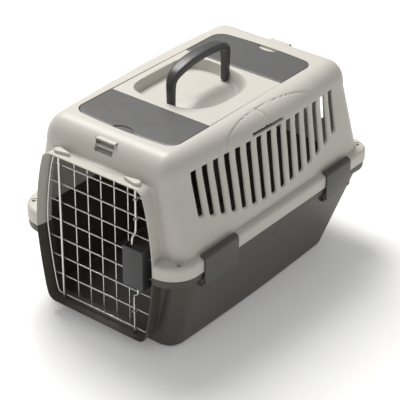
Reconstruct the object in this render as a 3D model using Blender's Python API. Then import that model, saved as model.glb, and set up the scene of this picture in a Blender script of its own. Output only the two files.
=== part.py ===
"""Pet transport carrier: two clipped plastic shells, a wire door with a squeeze latch, a folding handle
and two storage lids. Metres, +Z up, door towards -Y, origin at the middle of the footprint."""

import math

import bmesh
import bpy
from mathutils import Matrix, Vector

# ---- driving dimensions, in metres ----
GAP = 0.0003
WALL = 0.0026
HALF_LENGTH = 0.245
SPLIT_Z = 0.138
DECK_Z = 0.3113

# door collar: half width at the split, and how it narrows upwards and downwards
COLLAR_HALF = 0.1124
COLLAR_TOP_Z = 0.2724
COLLAR_BOTTOM_Z = 0.015
COLLAR_BACK_Y = -0.205
COLLAR_WALL = 0.003

# band round the split, with rounded corner lugs
BAND_HALF = 0.157
BAND_TOP_Z = 0.160
LIP_HALF = 0.155
LIP_BOTTOM_Z = 0.124
LUG_HOLES = ((0.1395, -0.221), (0.1395, 0.230))
LUG_HOLE_RADIUS = 0.0032

# vent slits
SLIT_COUNT = 15
SLIT_PITCH = 0.0232
SLIT_FIRST_Y = -0.1645
SLIT_WIDTH = 0.011
SLIT_TOP_Z = 0.2795
SLIT_BOTTOM_MID_Z = 0.178
SLIT_BOTTOM_RISE = 0.033
REAR_SLIT_COUNT = 7

# lids and the stores under them
LID_THICKNESS = 0.0025
LID_CORNER = 0.020
LID_HINGE_Z = 0.3092
LID_BARREL = 0.0019
LID_PIP = 0.0012
FRONT_LID = {"name": "front_lid", "half": 0.093, "hinge_y": -0.0953, "far_y": -0.181, "away": -1}
REAR_LID = {"name": "rear_lid", "half": 0.0915, "hinge_y": 0.0833, "far_y": 0.168, "away": 1}
STORE_DEPTH = 0.024

# strap anchors in the front and rear shoulders: pocket half width, its heights, and the bar across it
ANCHOR_HALF = 0.018
ANCHOR_Z = (0.2835, 0.3035)
ANCHOR_BAR = 0.0022
ANCHORS = {"front": (-0.2165, -0.2125, -0.2025), "rear": (0.2125, 0.2085, 0.1985)}

# handle and its dish
HANDLE_Y = -0.003
HANDLE_HALF = 0.0635
HANDLE_PIVOT_Z = 0.303
HANDLE_FOOT_Z = 0.297
HANDLE_RISE = 0.066
TRUNNION = 0.004
TRUNNION_END = 0.0765
TRUNNION_HOLE_END = 0.0795
DISH_HALF_Y = 0.071
DISH_FLOOR_Z = 0.2945

# door
DOOR_Y = -0.230
ROD_Y = -0.2333
HINGE_X = -0.0725
HINGE_ROD = 0.0020
LATCH_ROD = 0.0017
UPPER_ROD_X = 0.072
LOWER_ROD_X = 0.067
UPPER_ROD_TIP_Z = 0.2678
LOWER_ROD_TIP_Z = 0.0196
GRID_PITCH_Z = 0.0318
GRID_BOTTOM_Z = 0.0270
GRID_PITCH_X = 0.0252
SOCKET_RADIUS = 0.0024

# latch block
LATCH_X = (0.0555, 0.093)
LATCH_Z = (0.106, 0.172)
LATCH_FRONT_Y = -0.2448
SLIDER_Y = (-0.2421, -0.2405)
TAIL_Y = -0.2384
UPPER_PEG = (0.069, 0.150)
LOWER_PEG = (0.079, 0.128)
SQUEEZE = 0.005
ROD_TRAVEL = 0.006

# clips: y range of each, and the hinge line along their lower edge
CLIPS = (("front", -0.186, -0.108), ("rear", 0.116, 0.181))
CLIP_AXIS_X = 0.1552
CLIP_AXIS_Z = 0.117

SEGMENTS = 16

for old in list(bpy.data.objects):
    bpy.data.objects.remove(old, do_unlink=True)

parts = bpy.data.collections.new("pet_transport_carrier")
cutters = bpy.data.collections.new("cutters")
cutters.hide_render = True
bpy.context.scene.collection.children.link(parts)
bpy.context.scene.collection.children.link(cutters)


# ---- materials ----
def plastic(name, color, roughness, metallic=0.0):
    """A Principled BSDF with one colour, roughness and metallic value."""
    material = bpy.data.materials.new(name)
    material.use_nodes = True
    shader = material.node_tree.nodes["Principled BSDF"]
    shader.inputs["Base Color"].default_value = (*color, 1)
    shader.inputs["Roughness"].default_value = roughness
    shader.inputs["Metallic"].default_value = metallic
    material.diffuse_color = (*color, 1)
    return material


SHELL_GREIGE = plastic("shell_greige", (0.60, 0.57, 0.51), 0.45)
SHELL_TAUPE = plastic("shell_taupe", (0.105, 0.085, 0.072), 0.5)
LID_GREY = plastic("lid_grey", (0.17, 0.17, 0.165), 0.5)
HANDLE_GREY = plastic("handle_grey", (0.075, 0.075, 0.078), 0.45)
CLIP_GREY = plastic("clip_grey", (0.095, 0.09, 0.08), 0.5)
LATCH_GREY = plastic("latch_grey", (0.07, 0.07, 0.07), 0.45)
ZINC_WIRE = plastic("zinc_wire", (0.75, 0.74, 0.72), 0.25, 1.0)
SPRING_STEEL = plastic("spring_steel", (0.6, 0.6, 0.62), 0.3, 1.0)


# ---- makers ----
def new_object(name, mesh_builder, material=None):
    """An object from a bmesh, in the parts when it has a material and among the cutters otherwise."""
    mesh = bpy.data.meshes.new(name)
    mesh_builder.to_mesh(mesh)
    mesh_builder.free()
    obj = bpy.data.objects.new(name, mesh)
    if material:
        mesh.materials.append(material)
        parts.objects.link(obj)
    else:
        cutters.objects.link(obj)
        obj.hide_render = True
        obj.display_type = "WIRE"
    return obj


def add_loft(builder, rings):
    """A closed solid through rings of equal point count, capped at both ends, in triangles."""
    rows = [[builder.verts.new(point) for point in ring] for ring in rings]
    count = len(rows[0])
    faces = [builder.faces.new(rows[0]), builder.faces.new(rows[-1])]
    for low, high in zip(rows, rows[1:]):
        for i in range(count):
            j = (i + 1) % count
            faces.append(builder.faces.new((low[i], low[j], high[j], high[i])))
    bmesh.ops.recalc_face_normals(builder, faces=faces)
    bmesh.ops.triangulate(builder, faces=faces)


def add_box(builder, low, high):
    """A box from its lowest to its highest corner."""
    middle = (Vector(low) + Vector(high)) / 2
    size = Vector(high) - Vector(low)
    bmesh.ops.create_cube(builder, size=1, matrix=Matrix.LocRotScale(middle, None, size))


def add_rod(builder, start, end, radius, segments=SEGMENTS):
    """A cylinder from one point to another."""
    start, end = Vector(start), Vector(end)
    along = end - start
    turn = along.to_track_quat("Z", "Y")
    place = Matrix.LocRotScale((start + end) / 2, turn, None)
    bmesh.ops.create_cone(
        builder, cap_ends=True, segments=segments, radius1=radius, radius2=radius,
        depth=along.length, matrix=place,
    )


def loft(name, rings, material=None):
    builder = bmesh.new()
    add_loft(builder, rings)
    return new_object(name, builder, material)


def solids(name, boxes=(), rods=(), lofts=(), material=None):
    """One object holding several boxes, rods and lofts."""
    builder = bmesh.new()
    for low, high in boxes:
        add_box(builder, low, high)
    for start, end, radius in rods:
        add_rod(builder, start, end, radius)
    for rings in lofts:
        add_loft(builder, rings)
    return new_object(name, builder, material)


def combine(target, operation, *tools):
    for tool in tools:
        modifier = target.modifiers.new(tool.name, "BOOLEAN")
        modifier.operation = operation
        modifier.object = tool


def place_origin(obj, point):
    """Moves the object's origin to a point of its joint's axis, leaving its shape where it is."""
    obj.data.transform(Matrix.Translation(-Vector(point)))
    obj.location = point


def wire(name, points, radius, material, closed=False):
    """A round wire along straight runs between points."""
    curve = bpy.data.curves.new(name, "CURVE")
    curve.dimensions = "3D"
    curve.bevel_depth = radius
    curve.bevel_resolution = 2
    curve.use_fill_caps = not closed
    spline = curve.splines.new("POLY")
    spline.points.add(len(points) - 1)
    for spot, point in zip(spline.points, points):
        spot.co = (*point, 1)
    spline.use_cyclic_u = closed
    obj = bpy.data.objects.new(name, curve)
    curve.materials.append(material)
    parts.objects.link(obj)
    return obj


# ---- outlines ----
def arc(centre, radius, start, end, steps):
    """Points on a circle, angles in degrees."""
    turns = [math.radians(start + (end - start) * i / steps) for i in range(steps + 1)]
    return [(centre[0] + radius * math.cos(a), centre[1] + radius * math.sin(a)) for a in turns]


def plan_ring(half, front, rear, front_radius, rear_radius, z, bulge=0.0):
    """A rounded rectangle at height z whose long sides bow out by bulge halfway along."""
    side_steps, corner_steps = 5, 6
    right = arc((half - front_radius, front + front_radius), front_radius, -90, 0, corner_steps)
    rear_corner = arc((half - rear_radius, rear - rear_radius), rear_radius, 0, 90, corner_steps)
    low_y, high_y = right[-1][1], rear_corner[0][1]
    for i in range(1, side_steps):
        share = i / side_steps
        right.append((half + bulge * math.sin(math.pi * share), low_y + (high_y - low_y) * share))
    right += rear_corner
    left = [(-x, y) for x, y in reversed(right)]
    return [(x, y, z) for x, y in right + left]


ROLL_Z = 0.268


def roll(z, edge, reach, inset):
    """A rolled shoulder: edge + reach at its foot, falling to edge at the deck, along a superellipse."""
    share = max(0.0, min(1.0, (z - ROLL_Z) / (DECK_Z - inset - ROLL_Z)))
    return edge + (reach - inset) * (1 - share**2.4) ** (1 / 2.4)


def upper_ring(z, inset=0.0):
    """The upper shell's outline at height z: the outer face, or the inner face at a wall's inset."""
    lean = 0.148 * max(0.0, ROLL_Z - z)
    half = roll(z, 0.095, 0.036, inset) + lean
    front = -roll(z, 0.187, 0.034, inset)
    rear = roll(z, 0.183, 0.034, inset) + lean
    radius = 0.034 - 0.006 * max(0.0, (z - ROLL_Z) / (DECK_Z - ROLL_Z)) - inset
    return plan_ring(half, front, rear, radius, radius + 0.004, z, 0.003)


def lower_ring(z, inset=0.0):
    """The lower shell's outline at height z, moved inwards by inset."""
    share = z / LIP_BOTTOM_Z
    half = 0.124 + 0.0265 * share
    rear = 0.176 + 0.056 * share
    return plan_ring(half - inset, -0.218 + inset, rear - inset, 0.030 - inset, 0.042 - inset, z, 0.003)


def collar_half(z):
    """Half width of the door collar's rim at height z."""
    rise = z - SPLIT_Z
    return COLLAR_HALF - (0.016 * rise + 0.99 * rise**2 if rise > 0 else -0.0814 * rise + 0.48 * rise**2)


def collar_side(z_from, z_to, inset, steps=5):
    """The collar's right edge between two heights, as (x, z) points."""
    heights = [z_from + (z_to - z_from) * i / steps for i in range(steps + 1)]
    return [(collar_half(z) - inset, z) for z in heights]


def collar_top(inset):
    """The upper corner and its way up from the side, ending on the flat top edge."""
    radius = 0.018 - min(inset, 0.006)
    top = COLLAR_TOP_Z - inset
    centre_z = top - radius
    edge = collar_half(centre_z) - inset
    return arc((edge - radius - 0.001, centre_z), radius, 12, 90, 6)


def collar_bottom(inset):
    """The lower corner, from the flat bottom edge up to the side."""
    radius = 0.016 - min(inset, 0.006)
    bottom = COLLAR_BOTTOM_Z + inset
    centre_z = bottom + radius
    edge = collar_half(centre_z) - inset
    return arc((edge - radius - 0.001, centre_z), radius, -90, -10, 6)


def collar_outline(inset, half_of="both"):
    """The collar's outline in the XZ plane: the upper half, the lower half or both."""
    low = collar_bottom(inset)
    high = collar_top(inset)
    if half_of == "upper":
        right = collar_side(SPLIT_Z + GAP / 2, high[0][1] - 0.012, inset) + high
    elif half_of == "lower":
        right = low + collar_side(low[-1][1] + 0.012, SPLIT_Z - GAP / 2, inset)
    else:
        right = low + collar_side(low[-1][1] + 0.012, high[0][1] - 0.012, inset, 9) + high
    return right + [(-x, z) for x, z in reversed(right)]


def prism(outline, y_from, y_to):
    """Two rings of an XZ outline, at two Y places."""
    return [[(x, y, z) for x, z in outline] for y in (y_from, y_to)]


def dish_ring(z, left, right, half_y):
    """The handle dish's outline: a superellipse, squarer on the left than on the right."""
    points = []
    for i in range(32):
        turn = 2 * math.pi * i / 32
        across, along = math.cos(turn), math.sin(turn)
        reach, power = (right, 2.3) if across > 0 else (left, 3.4)
        x = math.copysign(abs(across) ** (2 / power), across) * reach
        y = math.copysign(abs(along) ** (2 / power), along) * half_y
        points.append((x, HANDLE_Y + y, z))
    return points


# ---- upper shell ----
def lid_outline(lid, grow=0.0):
    """The lid's plan, from the hinge edge round the far corners."""
    away = lid["away"]
    half = lid["half"] + grow
    near = lid["hinge_y"] - away * 0.0007 - away * grow
    far = lid["far_y"] + away * grow
    bow = 0.003
    corner = LID_CORNER + grow
    right = [(half, near)]
    for x, y in arc((half - corner, 0), corner, 0, 80, 5):
        right.append((x, far - away * (bow + corner) + away * y))
    right.append((half * 0.4, far))
    outline = right + [(-x, y) for x, y in reversed(right)]
    return outline if away > 0 else outline[::-1]


def slab(outline, z_from, z_to):
    """Two rings of a plan outline, at two heights."""
    return [[(x, y, z) for x, y in outline] for z in (z_from, z_to)]


def slit_bottom(y):
    share = (y - SLIT_FIRST_Y) / (SLIT_PITCH * (SLIT_COUNT - 1)) * 2 - 1
    return SLIT_BOTTOM_MID_Z + SLIT_BOTTOM_RISE * share**2


def slit_rings(y, bottom, top, reach):
    """A slit cutter through both side walls: square above, rounded to a point below."""
    half = SLIT_WIDTH / 2
    outline = [(y - half, top - 0.003), (y - half * 0.6, top), (y + half, top), (y + half, bottom + 0.007)]
    outline += [(y + half * 0.5, bottom + 0.0015), (y - half * 0.1, bottom), (y - half, bottom + 0.006)]
    return [[(x, along, z) for along, z in outline] for x in (-reach, reach)]


def make_collar(name, half_of):
    """Half of the collar as a solid plug: the doorway is cut through it afterwards."""
    return loft(name, [
        [(x, y, z) for x, z in collar_outline(inset, half_of)]
        for y, inset in ((-HALF_LENGTH, 0.0), (-0.222, 0.0028), (COLLAR_BACK_Y, 0.0030))
    ])


def make_doorway(name):
    """The door opening: flared from the neck to the rim, straight behind the neck."""
    neck = COLLAR_WALL + 0.0028
    return loft(name, [
        [(x, y, z) for x, z in collar_outline(inset)]
        for y, inset in ((-HALF_LENGTH - 0.01, 0.0002), (-0.222, neck), (-0.19, neck))
    ])


def make_anchors():
    """The blocks, pockets and cross bars of the strap anchors, each as one object."""
    blocks, pockets, bars = [], [], []
    low, high = ANCHOR_Z
    for face, bar, floor in ANCHORS.values():
        outward = 0.02 if face > 0 else -0.02
        near, far = sorted((face, floor - outward * 0.125))
        blocks.append(((-ANCHOR_HALF - WALL, near, low - WALL), (ANCHOR_HALF + WALL, far, high + WALL)))
        near, far = sorted((face + outward, floor))
        pockets.append(((-ANCHOR_HALF, near, low), (ANCHOR_HALF, far, high)))
        height = (low + high) / 2
        bars.append(((-ANCHOR_HALF - 0.001, bar, height), (ANCHOR_HALF + 0.001, bar, height), ANCHOR_BAR))
    return (solids("anchor_blocks", boxes=blocks), solids("anchor_pockets", boxes=pockets),
            solids("anchor_bars", rods=bars))


UPPER_LEVELS = (0.1606, 0.195, 0.235, ROLL_Z, 0.282, 0.293, 0.301, 0.3065, DECK_Z)


def make_upper_shell():
    band = [
        plan_ring(BAND_HALF, -HALF_LENGTH + 0.0007, HALF_LENGTH, 0.045, 0.026, SPLIT_Z + GAP / 2),
        plan_ring(BAND_HALF, -HALF_LENGTH + 0.0007, HALF_LENGTH, 0.045, 0.026, BAND_TOP_Z - 0.004),
        plan_ring(BAND_HALF - 0.003, -HALF_LENGTH + 0.003, HALF_LENGTH - 0.003, 0.042, 0.023, BAND_TOP_Z),
    ]
    shell = loft("upper_shell", band + [upper_ring(z) for z in UPPER_LEVELS], SHELL_GREIGE)
    cavity = [upper_ring(0.1606, WALL)]
    cavity = [[(x, y, SPLIT_Z - 0.01) for x, y, _ in cavity[0]]] + cavity
    cavity += [upper_ring(z, WALL) for z in UPPER_LEVELS[1:-1] + (DECK_Z - WALL,)]
    combine(shell, "DIFFERENCE", loft("upper_cavity", cavity))

    collar = make_collar("upper_collar", "upper")
    stores = []
    for lid in (FRONT_LID, REAR_LID):
        stores.append(loft(lid["name"] + "_store", slab(lid_outline(lid, 0.0035),
                                                        DECK_Z - STORE_DEPTH - WALL, DECK_Z - 0.001)))
    dish_block = loft("dish_block", [
        dish_ring(DECK_Z - 0.001, 0.0755, 0.0690, DISH_HALF_Y + 0.003),
        dish_ring(DISH_FLOOR_Z + 0.004, 0.0745, 0.0450, DISH_HALF_Y + 0.003),
        dish_ring(DISH_FLOOR_Z - 0.0028, 0.0735, 0.0340, DISH_HALF_Y + 0.003),
    ])
    bosses = solids("rod_bosses", rods=[
        ((x, ROD_Y, COLLAR_TOP_Z - 0.004), (x, ROD_Y, COLLAR_TOP_Z + 0.0035), 0.006)
        for x in (HINGE_X, UPPER_ROD_X)
    ])
    anchor_blocks, anchor_pockets, anchor_bars = make_anchors()
    combine(shell, "UNION", collar, *stores, dish_block, bosses, anchor_blocks)

    doorway = make_doorway("upper_doorway")
    dish = loft("dish", [
        dish_ring(DECK_Z + 0.004, 0.0730, 0.0670, DISH_HALF_Y),
        dish_ring(DECK_Z - 0.003, 0.0722, 0.0620, DISH_HALF_Y),
        dish_ring(DISH_FLOOR_Z, 0.0710, 0.0300, DISH_HALF_Y),
    ])
    trunnion_holes = solids("trunnion_holes", rods=[
        ((0, HANDLE_Y - TRUNNION_HOLE_END, HANDLE_PIVOT_Z), (0, HANDLE_Y + TRUNNION_HOLE_END, HANDLE_PIVOT_Z),
         TRUNNION + GAP)
    ])
    combine(shell, "DIFFERENCE", doorway, dish, trunnion_holes)

    for lid in (FRONT_LID, REAR_LID):
        away = lid["away"]
        seat = loft(lid["name"] + "_seat", slab(lid_outline(lid, 0.0005),
                                                DECK_Z - LID_THICKNESS - GAP, DECK_Z + 0.01))
        inner_near = lid["hinge_y"] + away * 0.006
        inner_far = lid["far_y"] - away * 0.014
        half = lid["half"] - 0.010
        low_y, high_y = sorted((inner_near, inner_far))
        store = solids(lid["name"] + "_well", boxes=[
            ((-half, low_y, DECK_Z - STORE_DEPTH), (half, high_y, DECK_Z + 0.005))
        ])
        groove = solids(lid["name"] + "_groove", boxes=[
            ((-lid["half"] - 0.0005, lid["hinge_y"] - 0.0025, LID_HINGE_Z - 0.0024),
             (lid["half"] + 0.0005, lid["hinge_y"] + 0.0025, DECK_Z + 0.005)),
        ])
        hole = solids(lid["name"] + "_hinge_holes", rods=[
            ((-lid["half"] - 0.0030, lid["hinge_y"], LID_HINGE_Z),
             (lid["half"] + 0.0030, lid["hinge_y"], LID_HINGE_Z), LID_PIP + 0.0003)
        ])
        combine(shell, "DIFFERENCE", seat, store, groove, hole)

    slits = [slit_rings(SLIT_FIRST_Y + SLIT_PITCH * i, slit_bottom(SLIT_FIRST_Y + SLIT_PITCH * i),
                        SLIT_TOP_Z, 0.17) for i in range(SLIT_COUNT)]
    side_slits = solids("side_slits", lofts=slits)
    rear_slits = []
    for i in range(REAR_SLIT_COUNT):
        rings = slit_rings((i - (REAR_SLIT_COUNT - 1) / 2) * SLIT_PITCH, 0.185, 0.262, 1)
        rear_slits.append([[(along, 0.26 if x > 0 else 0.2, z) for x, along, z in ring] for ring in rings])
    rear_vents = solids("rear_vents", lofts=rear_slits)
    strap_slots = solids("strap_slots", boxes=[
        ((side - 0.012, -0.0375, 0.2830), (side + 0.012, 0.0325, 0.2865)) for side in (-0.126, 0.126)
    ])
    lug_holes = solids("upper_lug_holes", rods=[
        ((side * x, y, SPLIT_Z - 0.01), (side * x, y, BAND_TOP_Z + 0.01), LUG_HOLE_RADIUS)
        for x, y in LUG_HOLES for side in (-1, 1)
    ])
    sockets = solids("upper_sockets", rods=[
        ((x, ROD_Y, COLLAR_TOP_Z - 0.012), (x, ROD_Y, COLLAR_TOP_Z + 0.0018), SOCKET_RADIUS)
        for x in (HINGE_X, UPPER_ROD_X)
    ])
    combine(shell, "DIFFERENCE", side_slits, rear_vents, strap_slots, anchor_pockets, lug_holes, sockets)
    combine(shell, "UNION", anchor_bars)
    return shell


# ---- lower shell ----
def clip_ears():
    """Bracket ears at both ends of each clip, on both sides."""
    ears = []
    for _, low_y, high_y in CLIPS:
        for side in (-1, 1):
            for y in (low_y - 0.0032, high_y + 0.0005):
                x_from, x_to = sorted((side * 0.147, side * 0.1576))
                ears.append(((x_from, y, 0.1132), (x_to, y + 0.0027, 0.1262)))
    return ears


def make_lower_shell():
    levels = (0.0, 0.004, 0.05, 0.09, LIP_BOTTOM_Z - 0.0033)
    rings = [plan_ring(0.121, -0.215, 0.172, 0.027, 0.039, 0.0, 0.003)]
    rings += [lower_ring(z) for z in levels[1:]]
    rings += [
        plan_ring(LIP_HALF - 0.002, -HALF_LENGTH + 0.0025, HALF_LENGTH - 0.003, 0.043, 0.024, LIP_BOTTOM_Z),
        plan_ring(LIP_HALF, -HALF_LENGTH + 0.0007, HALF_LENGTH - 0.001, 0.045, 0.026, LIP_BOTTOM_Z + 0.003),
        plan_ring(LIP_HALF, -HALF_LENGTH + 0.0007, HALF_LENGTH - 0.001, 0.045, 0.026, SPLIT_Z - GAP / 2),
    ]
    shell = loft("lower_shell", rings, SHELL_TAUPE)
    cavity = [lower_ring(z, WALL) for z in (0.003, 0.05, 0.09, LIP_BOTTOM_Z)]
    cavity.append([(x, y, SPLIT_Z + 0.01) for x, y, _ in cavity[-1]])
    combine(shell, "DIFFERENCE", loft("lower_cavity", cavity))

    collar = make_collar("lower_collar", "lower")
    ears = solids("clip_ears", boxes=clip_ears())
    nubs = solids("socket_nubs", rods=[
        ((x, ROD_Y, 0.0095), (x, ROD_Y, 0.0240), 0.0046) for x in (HINGE_X, LOWER_ROD_X)
    ])
    combine(shell, "UNION", collar, ears, nubs)

    doorway = make_doorway("lower_doorway")
    sockets = solids("lower_sockets", rods=[
        ((x, ROD_Y, 0.0115), (x, ROD_Y, 0.03), SOCKET_RADIUS) for x in (HINGE_X, LOWER_ROD_X)
    ])
    lug_holes = solids("lower_lug_holes", rods=[
        ((side * x, y, LIP_BOTTOM_Z - 0.01), (side * x, y, SPLIT_Z + 0.01), LUG_HOLE_RADIUS)
        for x, y in LUG_HOLES for side in (-1, 1)
    ])
    pivots = solids("clip_pivot_holes", rods=[
        ((side * CLIP_AXIS_X, low_y - 0.01, CLIP_AXIS_Z), (side * CLIP_AXIS_X, high_y + 0.01, CLIP_AXIS_Z),
         0.0018)
        for _, low_y, high_y in CLIPS for side in (-1, 1)
    ])
    combine(shell, "DIFFERENCE", doorway, sockets, lug_holes, pivots)
    return shell


# ---- lids ----
def make_lid(lid):
    """A flat lid with a hinge barrel and two pips on its hinge edge, and a finger notch opposite."""
    away = lid["away"]
    plate = loft(lid["name"], slab(lid_outline(lid), DECK_Z - LID_THICKNESS, DECK_Z), LID_GREY)
    y, half = lid["hinge_y"], lid["half"]
    barrel = solids(lid["name"] + "_barrel",
                    rods=[((-half + 0.002, y, LID_HINGE_Z), (half - 0.002, y, LID_HINGE_Z), LID_BARREL)])
    pips = solids(lid["name"] + "_pips",
                  rods=[((-half - 0.0026, y, LID_HINGE_Z), (half + 0.0026, y, LID_HINGE_Z), LID_PIP)])
    combine(plate, "UNION", barrel, pips)
    notch = bmesh.new()
    add_rod(notch, (0, 0, DECK_Z - 0.02), (0, 0, DECK_Z + 0.02), 0.0185, 32)
    bmesh.ops.scale(notch, vec=(1, 0.62, 1), verts=notch.verts)
    bmesh.ops.translate(notch, vec=(0, lid["far_y"] + away * 0.001, 0), verts=notch.verts)
    combine(plate, "DIFFERENCE", new_object(lid["name"] + "_notch", notch))
    place_origin(plate, (0, y, LID_HINGE_Z))
    for modifier in plate.modifiers:
        place_origin(modifier.object, (0, y, LID_HINGE_Z))
    return plate


# ---- handle ----
def make_handle():
    """A bail handle: a superellipse arch, wider at the grip than at its legs, with a trunnion on each leg."""
    rings, steps = [], 22
    for i in range(steps + 1):
        turn = math.pi * i / steps
        across, up = -math.cos(turn), math.sin(turn)
        y = HANDLE_Y + HANDLE_HALF * math.copysign(abs(across) ** (2 / 3.5), across)
        z = HANDLE_FOOT_Z + HANDLE_RISE * up ** (2 / 3.5)
        tangent = Vector((0, abs(up) ** 1.6 + 1e-6, math.copysign(abs(across) ** 1.6, -across)))
        tangent = Vector((0, 0, 1)) if i == 0 else Vector((0, 0, -1)) if i == steps else tangent.normalized()
        normal = Vector((0, -tangent.z, tangent.y))
        lift = max(0.0, min(1.0, (z - 0.325) / 0.03))
        half_wide, half_thick = 0.0060 + 0.0045 * lift, 0.0050 + 0.0010 * lift
        ring = []
        for k in range(8):
            corner = math.radians(22.5 + 45 * k)
            wide = half_wide * max(-1, min(1, 1.25 * math.cos(corner)))
            thick = half_thick * max(-1, min(1, 1.25 * math.sin(corner)))
            ring.append(Vector((wide, y, z)) + normal * thick)
        rings.append(ring)
    handle = loft("handle", rings, HANDLE_GREY)
    trunnions = solids("trunnions", rods=[
        ((0, HANDLE_Y + side * (HANDLE_HALF + 0.0035), HANDLE_PIVOT_Z),
         (0, HANDLE_Y + side * TRUNNION_END, HANDLE_PIVOT_Z), TRUNNION) for side in (-1, 1)
    ])
    combine(handle, "UNION", trunnions)
    for obj in (handle, trunnions):
        place_origin(obj, (0, HANDLE_Y, HANDLE_PIVOT_Z))
    return handle


# ---- side clips ----
def make_clip(name, side, low_y, high_y):
    """A hooked plate: barrel along its lower edge, flat face, and a hook over the band's top."""
    profile = [(0.1600, 0.1170), (0.1600, 0.1575), (0.1582, 0.1618), (0.1545, 0.1634), (0.1500, 0.1634),
               (0.1496, 0.1622), (0.1506, 0.1609), (0.1560, 0.1607), (0.1577, 0.1572), (0.1577, 0.1200)]
    profile += arc((CLIP_AXIS_X, CLIP_AXIS_Z), 0.0028, 70, 300, 6)
    profile.append((0.1590, 0.1150))
    rings = [[(side * x, y, z) for x, z in profile] for y in (low_y, high_y)]
    clip = loft(name, rings, CLIP_GREY)
    pivots = solids(name + "_pivots", rods=[
        ((side * CLIP_AXIS_X, low_y - 0.0032, CLIP_AXIS_Z),
         (side * CLIP_AXIS_X, high_y + 0.0032, CLIP_AXIS_Z), 0.0015)
    ])
    combine(clip, "UNION", pivots)
    for obj in (clip, pivots):
        place_origin(obj, (side * CLIP_AXIS_X, (low_y + high_y) / 2, CLIP_AXIS_Z))
    return clip


# ---- door ----
FRAME_INSET = 0.0095
FRAME_WIRE = 0.0013
ROW_WIRE = 0.0011
COLUMN_WIRE = 0.0010
GUIDE_WIRE = 0.0009
TOP_ROW_HALF = 0.0855

door_hinge = bpy.data.objects.new("door_hinge_axis", None)
door_hinge.location = (HINGE_X, ROD_Y, 0)
parts.objects.link(door_hinge)
bpy.context.view_layer.update()


def parent_to_hinge(piece):
    piece.parent = door_hinge
    piece.matrix_parent_inverse = door_hinge.matrix_world.inverted()


def grid_rows():
    return [GRID_BOTTOM_Z + GRID_PITCH_Z * i for i in range(1, 8)]


def grid_columns():
    return [HINGE_X + GRID_PITCH_X * i for i in range(1, 6)]


def make_door():
    frame = wire("door_frame_wire", [(x, DOOR_Y, z) for x, z in collar_outline(FRAME_INSET)],
                 FRAME_WIRE, ZINC_WIRE, closed=True)
    pieces = [frame]
    rows = grid_rows()
    clear = FRAME_WIRE + GAP + 0.0004
    for i, z in enumerate(rows):
        half = TOP_ROW_HALF if i == 6 else collar_half(z) - FRAME_INSET - clear
        pieces.append(wire(f"door_row_wire_{i + 1}", [(-half, DOOR_Y, z), (half, DOOR_Y, z)],
                           ROW_WIRE, ZINC_WIRE))
    column_y = DOOR_Y + ROW_WIRE + GAP + COLUMN_WIRE + 0.0004
    top = COLLAR_TOP_Z - FRAME_INSET + 0.0005
    bottom = COLLAR_BOTTOM_Z + FRAME_INSET - 0.0005
    for i, x in enumerate(grid_columns()):
        pieces.append(wire(f"door_column_wire_{i + 1}", [(x, column_y, bottom), (x, column_y, top)],
                           COLUMN_WIRE, ZINC_WIRE))
    hinge = [(HINGE_X, ROD_Y, 0.0122), (HINGE_X, ROD_Y, COLLAR_TOP_Z + 0.0010)]
    pieces.append(wire("door_hinge_rod", hinge, HINGE_ROD, ZINC_WIRE))
    for name, x, z in (("rod_guide_top", UPPER_ROD_X, rows[6]), ("rod_guide_middle", UPPER_ROD_X, rows[5]),
                       ("rod_guide_bottom", LOWER_ROD_X, rows[0])):
        height = z - ROW_WIRE - GAP - GUIDE_WIRE - 0.0001
        ring = [(x + px, ROD_Y + py, height) for px, py in arc((0, 0), LATCH_ROD + 0.0014, 0, 360, 12)[:-1]]
        pieces.append(wire(name, ring, GUIDE_WIRE, ZINC_WIRE, closed=True))
    for piece in pieces:
        parent_to_hinge(piece)


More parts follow.
